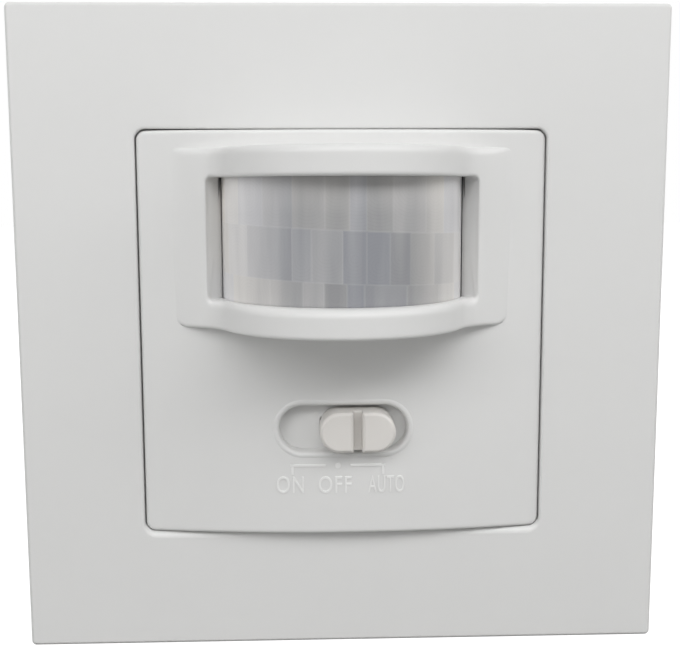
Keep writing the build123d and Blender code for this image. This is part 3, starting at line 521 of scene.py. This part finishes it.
def ring_skin(name, rings):
    """Skin through rings of points (across, height, up), one after another."""
    mesh = bmesh.new()
    loops = [[mesh.verts.new((x, -height, z)) for x, height, z in ring] for ring in rings]
    for outer, inner in zip(loops, loops[1:]):
        band(mesh, outer, inner)
    bmesh.ops.remove_doubles(mesh, verts=mesh.verts, dist=0.0005 * MM)
    bmesh.ops.recalc_face_normals(mesh, faces=mesh.faces)
    foremost = max(mesh.faces, key=lambda face: -face.calc_center_median().y)
    if foremost.normal.y > 0:
        bmesh.ops.reverse_faces(mesh, faces=mesh.faces)
    return mesh_object(name, mesh, 40, turn_out=False)


def skin_ring(places):
    """A ring on the hood's skin, through places each with how far it is sunk."""
    return [(place.x, hood_skin_front(place.x) - sunk, place.y) for place, sunk in places]


def hood_skin():
    """The hood's front: rounded outer edge, brow and wings, rounded window edge and cheeks."""
    outline = []
    for spot, way in rounded_ring(WING_REACH, HOOD_TOP, HOOD_FOOT, HOOD_CORNER):
        taper = 1 - HOOD_TAPER * (HOOD_TOP - spot.y) / (HOOD_TOP - HOOD_FOOT)
        outline.append((Vector((spot.x * taper, spot.y)), way, EDGE_ROUND + EDGE_ROUND_CHANGE * way.y))
    window = []
    for spot, way in rounded_ring(WINDOW_HALF, WINDOW_TOP, WINDOW_FOOT, WINDOW_CORNER):
        level = SILL_ROUND if spot.y < (WINDOW_TOP + WINDOW_FOOT) / 2 else LINTEL_ROUND
        window.append((spot, way, SIDE_ROUND * way.x**2 + level * way.y**2))
    rings = []
    skirt = [(spot.x + way.x * HOOD_SKIRT, spot.y) for spot, way, _ in outline]
    for sunk in SKIRT_DEPTHS:
        rings.append([(x, crown_height(x) - sunk, z) for x, z in skirt])
    for inset, drop in quarter_round(6):
        places = []
        for spot, way, edge in outline:
            place = spot - way * edge * inset
            rise = hood_front(place.x) - crown_height(place.x)
            places.append((place, min(edge, EDGE_MOST * max(rise, 0)) * drop))
        rings.append(skin_ring(places))
    for part in FRONT_PARTS:
        places = []
        for (spot, way, edge), (far, out, reach) in zip(outline, window):
            places.append(((spot - way * edge).lerp(far + out * reach, part), 0))
        rings.append(skin_ring(places))
    for drop, inset in quarter_round(6):
        rings.append(skin_ring([(spot + way * reach * inset, reach * drop) for spot, way, reach in window]))
    front, back = rings[-1], []
    for x, _, z in front:
        side = max(-CHEEK_HALF, min(CHEEK_HALF, x))
        sheet = LENS_AXIS + sqrt(max(LENS_RADIUS**2 - side**2, 0)) + CHEEK_GAP
        back.append((side, CHEEK_BACK if abs(x) > CHEEK_HALF else max(CHEEK_BACK, sheet), z))
    for part in CHEEK_PARTS:
        rings.append([tuple(a + (b - a) * part for a, b in zip(*pair)) for pair in zip(front, back)])
    return ring_skin("hood_skin", rings)


def slot_rim():
    """Rounded lip round the selector's slot, which stands a little out of the crown."""
    steps = [(SLOT_OVER, SLOT_DEEP)]
    steps += [(SLOT_OVER + SLOT_LIP * inset, SLOT_LIP * drop) for inset, drop in quarter_round(5)]
    rings = []
    for reach, drop in (*steps, *SLOT_RUN_OUT):
        radius = SLOT_RADIUS + reach
        half, top, foot = SLOT_HALF + reach, SLOT_LEVEL + radius, SLOT_LEVEL - radius
        points = rounded_ring(half, top, foot, radius, along=40, upright=1, corner=16)
        rings.append([(spot.x, crown_height(spot.x) + SLOT_PROUD - drop, spot.y) for spot, _ in points])
    return ring_skin("slot_rim", rings)


def over_panel(across):
    """Height of the rim on the panel's face."""
    return crown_height(across) + RIM_LIFT


def over_frame(across):
    """Height of the lip on the frame's flat face."""
    return FRAME_FRONT + RIM_LIFT


def rim_skin(name, half, radius, height_at, outward, edge, foot_edge, reach):
    """A thin rim: down in the gap, round the edge and out flat until it sinks into the face."""

    def ring(offset, drop, foot_offset=0.0, foot_drop=0.0):
        """One ring at a distance from the edge towards the flat side, and more of it along the foot."""
        shift = outward * offset
        spots = []
        corner = max(radius + shift, RIM_LEAST_CORNER)
        for spot, way in rounded_ring(half + shift, half + shift, -half - shift, corner):
            foot = max(-way.y, 0.0)
            height = height_at(spot.x) - drop - foot * foot_drop
            spots.append((spot.x, height, spot.y - outward * foot * foot_offset))
        return spots

    rings = [[(x, RIM_BACK, z) for x, _, z in ring(0, 0)]]
    for inset, drop in quarter_round(5):
        rings.append(ring(edge * inset, edge * drop, foot_edge * inset, foot_edge * drop))
    rings += [ring(reach * RIM_FLAT_PART, 0), ring(reach, RIM_SINK)]
    return ring_skin(name, rings)


class BuildStep(bpy.types.Operator):
    """Base of the operators that dress the switch"""

    bl_options = {"REGISTER", "UNDO"}


class SWITCH_OT_shell(BuildStep):
    """Finishes the cover frame, the front panel with its hood, and the selector"""

    bl_idname = "switch.shell"
    bl_label = "Finish the white mouldings"

    def execute(self, context):
        shell = context.scene.switch_shell
        grain = {"size": shell.grain_size, "depth": shell.grain_depth, "edge": shell.edge_radius}
        frame_finish = moulded("frame moulding", shell.frame_color, 0.38, **grain)
        panel_finish = moulded("panel moulding", shell.panel_color, 0.4, **grain)
        dress(frame_finish, "cover_frame")
        dress(panel_finish, "front_panel")
        finish_piece(panel_body(), panel_finish, ("front_panel",))
        half, corner, gap = shell.rim_half, shell.rim_corner, shell.gap_width
        for piece in (hood_skin(), slot_rim(), rim_skin("panel_rim", half, corner, over_panel, **PANEL_RIM)):
            finish_piece(piece, panel_finish)
        lip = rim_skin("frame_lip", half + gap, corner + gap, over_frame, **FRAME_LIP)
        finish_piece(lip, frame_finish)
        dress(moulded("knob moulding", shell.knob_color, 0.36, wear=0.8, **grain), "selector_knob")
        dress(moulded("carriage moulding", shell.inner_color, 0.5, wear=0.7), "selector_carriage")
        dress(moulded("lever moulding", from_screen(46, 46, 47), 0.45), "slide_switch_lever")
        dress(plated("switch case tin", from_screen(196, 197, 194), 0.34, 500.0), "slide_switch_case")
        dress(moulded("retainer moulding", from_screen(52, 52, 53), 0.55), "lens_retainer")
        return {"FINISHED"}


# Facets of the lens: each row's foot and top in millimetres and the angles between its facets in degrees
LENS_ROWS = (
    (3.2, 7.3, (-83.4, -61, -35, -19, -9.4, 0.4, 8, 28, 47.5, 63, 83.4)),
    (7.3, 13.3, (-83.4, -66, -49, -24, -15, -1.3, 8.9, 19.7, 29.8, 44, 62, 83.4)),
    (13.3, 20.8, (-83.4, -70.7, -55.6, -39, -23.6, -8.9, 1.7, 8.9, 21, 38.5, 51, 66, 83.4)),
)
LENS_ROW_TILT = -0.045
SEAM_DEGREES = 0.5

# Points up a facet as shares of its height, and whether each stands proud
FACET_RISES = (0.0, 0.018, 0.5, 0.982, 1.0)
FACET_LIFTS = (0.0, 1.0, 1.0, 1.0, 0.0)

# The darker middle of the sheet, partly the dark chamber seen through it and partly painted shade, with painted
# light on its sides and towards its top where the hood's shade falls: its middle, where it fades out sideways and
# upward, and how much each part adds to the darkness or takes from it; then the tints of the facets
DARK_MIDDLE = 1.0 * MM
DARK_SIDE, DARK_SIDE_END = 6.0 * MM, 14.2 * MM
PAINTED_TOP_LIGHT_START, PAINTED_TOP_LIGHT_END = 15.0 * MM, 19.6 * MM
DARK_SHARE, STREAK_SHARE, FACET_SHARE, PAINTED_TOP_LIGHT_SHARE = 0.74, 0.16, 0.17, 0.2
COOL_TINT, WARM_TINT = from_screen(249, 251, 255), from_screen(255, 254, 250)


class SWITCH_OT_lens(BuildStep):
    """Builds the faceted Fresnel lens in place of the plain sheet"""

    bl_idname = "switch.lens"
    bl_label = "Build the Fresnel lens"

    def execute(self, context):
        lens = context.scene.switch_lens
        mesh = bmesh.new()
        rings = mesh.loops.layers.uv.new("facet rings")
        tones = mesh.faces.layers.float.new("facet tone")
        seams = mesh.faces.layers.float.new("facet seam")
        chance = random.Random(11)
        shared = {float(angle) for angle in range(-82, 83, 2)}
        for _, _, angles in LENS_ROWS:
            shared.update(angle + shift for angle in angles for shift in (-SEAM_DEGREES, 0.0, SEAM_DEGREES))
        for low, high, angles in LENS_ROWS:
            for start, end in zip(angles, angles[1:]):
                proud = chance.uniform(0.15, 0.85) * lens.facet_relief
                tone = chance.uniform(0.0, 1.0)
                centre = Vector(((start + end) / 2, (low + high) / 2 * MM + chance.uniform(-1, 1) * MM))
                across = sorted(angle for angle in shared | {start, end} if start <= angle <= end)
                for face, on_seam in self.facet(mesh, across, low, high, proud, lens.facet_relief):
                    face[tones] = tone
                    face[seams] = on_seam
                    for loop in face.loops:
                        place = loop.vert.co
                        angle = degrees(atan2(place.x, -place.y - LENS_AXIS))
                        along = radians(angle - centre.x) * LENS_RADIUS
                        loop[rings].uv = (along / MM, (place.z - centre.y) / MM)
        bmesh.ops.remove_doubles(mesh, verts=mesh.verts, dist=0.001 * MM)
        piece = mesh_object("lens_sheet_faceted", mesh, 40)
        wall = piece.modifiers.new("sheet thickness", "SOLIDIFY")
        wall.thickness = lens.thickness
        wall.offset = -1.0
        finish_piece(piece, self.sheet_material(lens), ("fresnel_lens",))
        return {"FINISHED"}

    def facet(self, mesh, across, low, high, proud, relief):
        """One facet's faces, each with 1 where it lies along a seam and 0 elsewhere."""
        fades = [0.0] + [1.0] * (len(across) - 2) + [0.0]
        grid = []
        for angle, fade in zip(across, fades):
            foot, top = self.seam_level(low, angle), self.seam_level(high, angle)
            column = []
            for rise, lift in zip(FACET_RISES, FACET_LIFTS):
                inset = relief - proud * min(fade, lift)
                column.append(mesh.verts.new(self.spot(angle, foot + (top - foot) * rise, inset)))
            grid.append(column)
        last_column, last_row = len(grid) - 2, len(FACET_RISES) - 2
        for i, (left, right) in enumerate(zip(grid, grid[1:])):
            for j in range(last_row + 1):
                face = mesh.faces.new((left[j], right[j], right[j + 1], left[j + 1]))
                yield face, 1.0 if j in (0, last_row) or i in (0, last_column) else 0.0

    def spot(self, angle, up, inset):
        """Point of the bowed sheet at an angle and a height, a little inside its outer face."""
        turn = radians(angle)
        reach = LENS_RADIUS - inset
        return Vector((reach * sin(turn), -(LENS_AXIS + reach * cos(turn)), up))

    def seam_level(self, level, angle):
        """Height of a row's seam, which runs slightly downhill to the right."""
        if level in (LENS_ROWS[0][0], LENS_ROWS[-1][1]):
            return level * MM
        return (level + LENS_ROW_TILT * LENS_RADIUS / MM * sin(radians(angle))) * MM

    def sheet_material(self, lens):
        """Milky sheet with fine rings painted darker in their grooves, a tone for each facet, and a darker middle
        that is partly the dark chamber behind it and partly painted shade, with painted light on the sides and top.
        """
        material, nodes, shader = new_material("milky lens sheet")
        ring_place = nodes.add("ShaderNodeUVMap", uv_map="facet rings").outputs["UV"]
        reach = nodes.add("ShaderNodeVectorMath", {0: ring_place}, operation="LENGTH").outputs["Value"]
        groove = nodes.math("FRACT", nodes.math("DIVIDE", reach, lens.groove_pitch / MM))
        tone = nodes.add("ShaderNodeAttribute", attribute_name="facet tone").outputs["Fac"]
        parts = nodes.add("ShaderNodeSeparateXYZ", {"Vector": nodes.object_place()})
        # Painted shade: darker in the middle, partly the dark chamber behind the sheet, fading out sideways to
        # painted light on the sides
        side = nodes.math("ABSOLUTE", nodes.math("SUBTRACT", parts.outputs["X"], DARK_MIDDLE))
        middle = nodes.ramp(side, DARK_SIDE, DARK_SIDE_END, 1.0, 0.0)
        upright = {"Vector": nodes.object_place(), "Scale": (1, 1, 0.12)}
        streak_place = nodes.add("ShaderNodeMapping", upright).outputs[0]
        streaks = nodes.noise(streak_place, 700.0, 3.0, 0.6)
        bands = nodes.ramp(nodes.noise(streak_place, 330.0, 1.0, 0.4), 0.35, 0.65, -0.07, 0.07)
        # Painted light towards the top, which takes darkness away where the hood's shade falls on the sheet
        top = nodes.ramp(parts.outputs["Z"], PAINTED_TOP_LIGHT_START, PAINTED_TOP_LIGHT_END, 0.0, PAINTED_TOP_LIGHT_SHARE)
        dark = nodes.plus(nodes.times(middle, DARK_SHARE), nodes.times(streaks, STREAK_SHARE))
        dark = nodes.math("SUBTRACT", nodes.plus(dark, bands), top)
        dark = nodes.plus(dark, nodes.times(tone, FACET_SHARE), clamp=True)
        color = nodes.blend(dark, (*lens.color, 1), (*lens.shadow_color, 1))
        tint = nodes.blend(nodes.math("FRACT", nodes.times(tone, 7.3)), COOL_TINT, WARM_TINT)
        color = nodes.blend(1.0, color, tint, "MULTIPLY")
        seam = nodes.add("ShaderNodeAttribute", attribute_name="facet seam").outputs["Fac"]
        color = nodes.blend(nodes.times(seam, 0.05), color, WHITE)
        # Painted shade in the fine rings' grooves: the colour is darker at the foot of each groove
        lines = nodes.ramp(groove, 0.0, 0.25, 0.955, 1.0)
        color = nodes.blend(1.0, color, lines, "MULTIPLY")
        rough = nodes.plus(0.34, nodes.times(streaks, 0.16))
        nodes.feed(shader, {"Base Color": color, "Roughness": rough})
        nodes.bump(shader, groove, lens.groove_depth)
        soft_inside(shader, 0.12, (0.8 * MM, 0.8 * MM, 0.9 * MM))
        return material


# Marks under the selector in millimetres: words with middle and width, lines from point to point, and the dot
WORDS = (("ON", -6.65, 3.4), ("OFF", -1.05, 4.1), ("AUTO", 5.35, 4.5))
WORD_LEVEL = -18.73
LINES = (
    ((-6.5, -16.25), (-2.4, -16.25)),
    ((-6.36, -16.25), (-6.36, -17.3)),
    ((1.0, -16.25), (5.1, -16.25)),
    ((4.96, -16.25), (4.96, -17.3)),
)
DOT = (-0.7, -16.3, 0.34)
LETTER_SPACING = 1.12
FLAT_ANGLE = 0.001
STROKE_STEPS = 12
DOT_POINTS = 24


def word_piece(name, word, width, height, place):
    """A raised word from Blender's own font, set on a face by a function of across, up and front or back."""
    curve = bpy.data.curves.new(name, "FONT")
    curve.body = word
    curve.extrude = 0.5
    curve.space_character = LETTER_SPACING
    curve.resolution_u = 6
    holder = new_object(name, curve)
    bpy.context.view_layer.update()
    mesh = bmesh.new()
    mesh.from_mesh(holder.to_mesh())
    bpy.data.curves.remove(curve)
    bmesh.ops.remove_doubles(mesh, verts=mesh.verts, dist=0.0005)
    flat = [edge for edge in mesh.edges if edge.calc_face_angle(pi) < FLAT_ANGLE]
    bmesh.ops.dissolve_edges(mesh, edges=flat, use_verts=True)
    bmesh.ops.triangulate(mesh, faces=mesh.faces, ngon_method="BEAUTY")
    xs, ys = ([vert.co[axis] for vert in mesh.verts] for axis in (0, 1))
    left, low, wide, high = min(xs), min(ys), max(xs) - min(xs), max(ys) - min(ys)
    for vert in mesh.verts:
        across = width * ((vert.co.x - left) / wide - 0.5)
        up = height * ((vert.co.y - low) / high - 0.5)
        vert.co = place(across, up, vert.co.z > 0)
    return mesh_object(name, mesh)


def ridge_piece(name, outlines, place):
    """Low ridges with the outlines given, set on a face as the words are."""
    mesh = bmesh.new()
    for outline in outlines:
        tops = [mesh.verts.new(place(across, up, True)) for across, up in outline]
        feet = [mesh.verts.new(place(across, up, False)) for across, up in outline]
        mesh.faces.new(tops)
        band(mesh, tops, feet)
    bmesh.ops.triangulate(mesh, faces=[face for face in mesh.faces if len(face.verts) > 4])
    return mesh_object(name, mesh)


def stroke(start, end, width):
    """Outline of a level or upright line, with enough points to follow the crown."""
    half = width / 2
    spans = ((min(pair) * MM - half, max(pair) * MM + half) for pair in zip(start, end))
    (left, right), (low, high) = spans
    steps = [left + (right - left) * k / STROKE_STEPS for k in range(STROKE_STEPS + 1)]
    return [(x, low) for x in steps] + [(x, high) for x in reversed(steps)]


class SWITCH_OT_marks(BuildStep):
    """Adds the raised words, lines and dot under the selector"""

    bl_idname = "switch.marks"
    bl_label = "Add the selector's marks"

    def execute(self, context):
        marks = context.scene.switch_marks
        # The marks' colour is set lighter than the panel's as a painted highlight on their relief
        material = moulded("mark moulding", marks.color, 0.5, tone=0.05, wear=0.3, edge=0.03 * MM, soften=0.0)

        def on_crown(across, up, front):
            """Point on the crowned face or just under it."""
            proud = marks.relief if front else -marks.relief
            return Vector((across, -(crown_height(across) + proud), up))

        for word, middle, width in WORDS:
            name = f"mark_word_{word.lower()}"

            def on_face(across, up, front, middle=middle):
                return on_crown(middle * MM + across, WORD_LEVEL * MM + up, front)

            piece = word_piece(name, word, width * MM, marks.letter_height, on_face)
            finish_piece(piece, material)
        outlines = [stroke(start, end, marks.line_width) for start, end in LINES]
        across, level, reach = DOT
        turns = [2 * pi * k / DOT_POINTS for k in range(DOT_POINTS)]
        dot = [((across + reach * cos(turn)) * MM, (level + reach * sin(turn)) * MM) for turn in turns]
        finish_piece(ridge_piece("mark_lines", [*outlines, dot], on_crown), material)
        return {"FINISHED"}


class SWITCH_OT_back(BuildStep):
    """Finishes the yoke, the tub, the inner cover and the clamping screws"""

    bl_idname = "switch.back"
    bl_label = "Finish the back"

    def execute(self, context):
        shell, fixings = context.scene.switch_shell, context.scene.switch_fixings
        yoke = plated("yoke zinc", fixings.steel_color, 0.34, 520.0, depth=0.004 * MM, edge=0.15 * MM)
        dress(yoke, "mounting_yoke")
        coarse = {"size": 0.25 * MM, "depth": 0.006 * MM, "edge": 0.25 * MM}
        dress(moulded("tub moulding", shell.inner_color, 0.5, tone=0.05, wear=0.7, **coarse), "rear_housing")
        cover = moulded("cover moulding", shell.inner_color, 0.48, size=0.22 * MM, depth=0.005 * MM)
        dress(cover, "inner_cover")
        dress(plated("screw zinc", fixings.steel_color, 0.3, 500.0), "housing_screws")
        return {"FINISHED"}


# Poles and their marks on the block's underside: place, relief, a letter's size, and the arrow in millimetres
POLES = ("live", "neutral", "load")
POLE_MARK_BACK, POLE_MARK_RELIEF = 21.2 * MM, 0.05 * MM
POLE_LETTER_WIDTH, POLE_LETTER_HEIGHT = 1.3 * MM, 1.8 * MM
ARROW = ((-0.16, -0.9), (0.16, -0.9), (0.16, 0.15), (0.6, 0.15), (0, 0.95), (-0.6, 0.15), (-0.16, 0.15))


class SWITCH_OT_terminals(BuildStep):
    """Finishes the terminal block, its clamps and its contacts, and adds the pole marks"""

    bl_idname = "switch.terminals"
    bl_label = "Finish the terminals"

    def execute(self, context):
        shell, fixings = context.scene.switch_shell, context.scene.switch_fixings
        grain = {"size": 0.22 * MM, "depth": 0.005 * MM, "tone": 0.05, "wear": 0.7}
        dress(moulded("block moulding", shell.inner_color, 0.46, **grain), "terminal_block")
        clamp = plated("clamp zinc", fixings.steel_color, 0.3, 520.0)
        dress(clamp, *(f"terminal_screw_{pole}" for pole in POLES))
        cage = plated("cage zinc", fixings.steel_color, 0.36, 420.0)
        dress(cage, *(f"terminal_cage_{pole}" for pole in POLES))
        dress(plated("contact brass", fixings.brass_color, 0.32, 420.0), "terminal_contacts")
        mark = moulded("pole mark", from_screen(120, 120, 118), 0.5, edge=0.03 * MM, soften=0.0)
        for pole, letter in zip(POLES, ("L", "N", "")):
            low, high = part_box(f"terminal_screw_{pole}")
            middle = (low.x + high.x) / 2

            def under_block(across, up, front, middle=middle):
                """Point on the block's underside or just inside it, read from below."""
                proud = POLE_MARK_RELIEF if front else -POLE_MARK_RELIEF
                return Vector((middle - across, POLE_MARK_BACK + up, BLOCK_LOW.z - proud))

            name = f"pole_mark_{pole}"
            if letter:
                piece = word_piece(name, letter, POLE_LETTER_WIDTH, POLE_LETTER_HEIGHT, under_block)
            else:
                piece = ridge_piece(name, [[(x * MM, up * MM) for x, up in ARROW]], under_block)
            finish_piece(piece, mark)
        return {"FINISHED"}


# Pieces on the two boards: node, colour on screen, roughness; and the boards' own greens
BOARD_PIECES = (
    ("control_chip", (40, 40, 42), 0.42),
    ("link_spacer_bar", (34, 34, 35), 0.5),
    ("link_socket", (34, 34, 35), 0.48),
    ("bridge_rectifier", (42, 42, 44), 0.45),
    ("relay", (46, 92, 150), 0.4),
    ("film_capacitor", (214, 178, 82), 0.3),
    ("electrolytic_capacitor", (38, 40, 52), 0.3),
    ("varistor", (52, 98, 160), 0.35),
    ("pir_spacer_pad", (222, 222, 216), 0.5),
    ("light_sensor", (198, 205, 210), 0.12),
    ("pir_filter_window", (38, 34, 40), 0.12),
)
MASK_COLOR, TRACK_COLOR = from_screen(26, 92, 52), from_screen(44, 128, 76)


class SWITCH_OT_electronics(BuildStep):
    """Finishes the boards and the components on them"""

    bl_idname = "switch.electronics"
    bl_label = "Finish the electronics"

    def execute(self, context):
        dress(self.board_material(), "sensor_board", "power_board")
        for node, color, roughness in BOARD_PIECES:
            name = f"{node.replace('_', ' ')} finish"
            dress(moulded(name, from_screen(*color), roughness, tone=0.06), node)
        body = moulded("trimmer body finish", from_screen(48, 92, 160), 0.42)
        dress(body, "time_trimmer_body", "lux_trimmer_body")
        rotor = moulded("trimmer rotor finish", from_screen(226, 226, 220), 0.4)
        dress(rotor, "time_trimmer_rotor", "lux_trimmer_rotor")
        dress(plated("sensor can nickel", from_screen(200, 198, 190), 0.26, 600.0), "pir_can")
        dress(plated("pin tin", from_screen(206, 204, 192), 0.28, 600.0), "link_pins")
        return {"FINISHED"}

    def board_material(self):
        """Green solder mask over a woven laminate, with a faint pattern of tracks."""
        material, nodes, shader = new_material("board laminate")
        place = nodes.object_place()
        threads = {"Scale": 900.0, "Mortar Size": 0.03, "Color1": WHITE, "Color2": (0.9, 0.9, 0.9, 1)}
        weave = nodes.add("ShaderNodeTexBrick", {"Vector": place, **threads}).outputs["Color"]
        cells = {"Vector": place, "Scale": 260.0}
        squares = nodes.add("ShaderNodeTexVoronoi", cells, distance="MANHATTAN")
        tracks = nodes.ramp(squares.outputs["Distance"], 0.42, 0.5)
        mask = nodes.blend(nodes.times(tracks, 0.3), MASK_COLOR, TRACK_COLOR)
        color = nodes.blend(0.35, mask, weave, "MULTIPLY")
        nodes.feed(shader, {"Base Color": color, "Roughness": nodes.ramp(tracks, 0, 1, 0.34, 0.26)})
        nodes.bump(shader, tracks, 0.02 * MM)
        return material


# Lamps: name, the setting with its power, place and size in metres, and the point that they all face
LAMPS = (
    ("key light", "key_power", (0.08, -0.31, 0.29), (1.5, 0.18)),
    ("fill light", "fill_power", (-0.45, -0.3, 0.1), (0.35, 0.35)),
    ("back light", "back_power", (0.12, 0.42, 0.30), (0.4, 0.4)),
)
LAMP_TARGET = Vector((0, -0.005, 0))

# Floor: half its side and its gap under the frame, both in metres, and how brightly the camera sees it
FLOOR_REACH, FLOOR_GAP, FLOOR_GLOW = 1.5, 0.05 * MM, 0.92

# Camera: its place, its turns in degrees, the photograph's focal length and width in pixels, and the sensor
CAMERA_PLACE = (-4.51 * MM, -136.31 * MM, 17.98 * MM)
CAMERA_TURNS = (("Z", -0.44772521), ("Y", -1.87669732), ("X", 7.47324739))
FOCAL_PIXELS, WIDTH_PIXELS, SENSOR_WIDTH = 1030, 680, 36.0


class SWITCH_OT_stage(BuildStep):
    """Sets up the floor, the lights, the room and the camera"""

    bl_idname = "switch.stage"
    bl_label = "Set the stage"

    def execute(self, context):
        stage = context.scene.switch_stage
        context.scene.view_settings.view_transform = "Standard"
        self.floor(stage)
        self.room(stage)
        for name, setting, place, size in LAMPS:
            self.soft_light(name, place, size, getattr(stage, setting))
        self.camera(context)
        return {"FINISHED"}

    def floor(self, stage):
        """A pale floor under the lower edge, white to the camera where no shadow falls."""
        mesh = bmesh.new()
        bmesh.ops.create_grid(mesh, x_segments=2, y_segments=2, size=FLOOR_REACH)
        for vert in mesh.verts:
            vert.co.z = FRAME_LOW.z - FLOOR_GAP
        floor = mesh_object("floor", mesh, turn_out=False)
        material, nodes, shader = new_material("studio floor")
        nodes.tree.nodes.remove(shader)
        diffuse = nodes.add("ShaderNodeBsdfDiffuse", {"Color": (*stage.floor_color, 1)})
        path = nodes.add("ShaderNodeLightPath")
        seen = nodes.times(path.outputs["Is Camera Ray"], FLOOR_GLOW)
        glow = nodes.add("ShaderNodeEmission", {"Color": WHITE, "Strength": seen})
        both = nodes.add("ShaderNodeAddShader", {0: diffuse.outputs[0], 1: glow.outputs[0]})
        nodes.feed(nodes.tree.get_output_node("ALL"), {"Surface": both.outputs[0]})
        floor.data.materials.append(material)

    def room(self, stage):
        """Even light from all round, which camera, mirror and glass rays see as white."""
        world = bpy.data.worlds.new("studio room")
        world.use_nodes = True
        world.node_tree.nodes.clear()
        nodes = Nodes(world.node_tree)
        path = nodes.add("ShaderNodeLightPath")
        seen = nodes.math("MAXIMUM", path.outputs["Is Camera Ray"], path.outputs["Is Transmission Ray"])
        seen = nodes.math("MAXIMUM", seen, path.outputs["Is Glossy Ray"])
        strength = nodes.ramp(seen, 0, 1, stage.sky_level, 1.0)
        sky = nodes.add("ShaderNodeBackground", {"Color": WHITE, "Strength": strength})
        nodes.add("ShaderNodeOutputWorld", {"Surface": sky.outputs[0]})
        bpy.context.scene.world = world

    def soft_light(self, name, place, size, power):
        """A wide lamp that faces the switch."""
        data = bpy.data.lights.new(name, "AREA")
        data.shape = "RECTANGLE"
        data.size, data.size_y = size
        data.energy = power
        lamp = new_object(name, data)
        lamp.location = place
        lamp.rotation_euler = (LAMP_TARGET - Vector(place)).to_track_quat("-Z", "Y").to_euler()

    def camera(self, context):
        """Camera at the photograph's place, found from the corners of the square frame."""
        turn = Matrix.Identity(3)
        for axis, angle in CAMERA_TURNS:
            turn = turn @ Matrix.Rotation(radians(angle), 3, axis)
        right, down, forward = (Vector((row[0], row[2], -row[1])) for row in turn)
        data = bpy.data.cameras.new("front camera")
        data.sensor_width = SENSOR_WIDTH
        data.lens = SENSOR_WIDTH * FOCAL_PIXELS / WIDTH_PIXELS
        data.clip_start = MM
        camera = new_object("front camera", data)
        aim = Matrix((right, -down, -forward)).transposed().to_4x4()
        camera.matrix_world = Matrix.Translation(CAMERA_PLACE) @ aim
        context.scene.camera = camera


STEPS = (
    SWITCH_OT_shell,
    SWITCH_OT_lens,
    SWITCH_OT_marks,
    SWITCH_OT_back,
    SWITCH_OT_terminals,
    SWITCH_OT_electronics,
    SWITCH_OT_stage,
)
SETTINGS = {
    "switch_shell": ShellSettings,
    "switch_lens": LensSettings,
    "switch_marks": MarkSettings,
    "switch_fixings": FixingSettings,
    "switch_stage": StageSettings,
}


class VIEW3D_PT_switch(bpy.types.Panel):
    """Sidebar panel with the settings and the steps"""

    bl_label = "Motion sensor switch"
    bl_space_type = "VIEW_3D"
    bl_region_type = "UI"
    bl_category = "Switch"

    def draw(self, context):
        for place in SETTINGS:
            box = self.layout.box()
            settings = getattr(context.scene, place)
            for name in settings.__annotations__:
                box.prop(settings, name)
        for step in STEPS:
            self.layout.operator(step.bl_idname)


CLASSES = (*SETTINGS.values(), *STEPS, VIEW3D_PT_switch)


def register():
    for kind in CLASSES:
        bpy.utils.register_class(kind)
    for place, kind in SETTINGS.items():
        setattr(bpy.types.Scene, place, bpy.props.PointerProperty(type=kind))


def unregister():
    for place in SETTINGS:
        delattr(bpy.types.Scene, place)
    for kind in reversed(CLASSES):
        bpy.utils.unregister_class(kind)


def main():
    register()
    bpy.ops.switch.shell()
    bpy.ops.switch.lens()
    bpy.ops.switch.marks()
    bpy.ops.switch.back()
    bpy.ops.switch.terminals()
    bpy.ops.switch.electronics()
    bpy.ops.switch.stage()


if __name__ == "__main__":
    main()
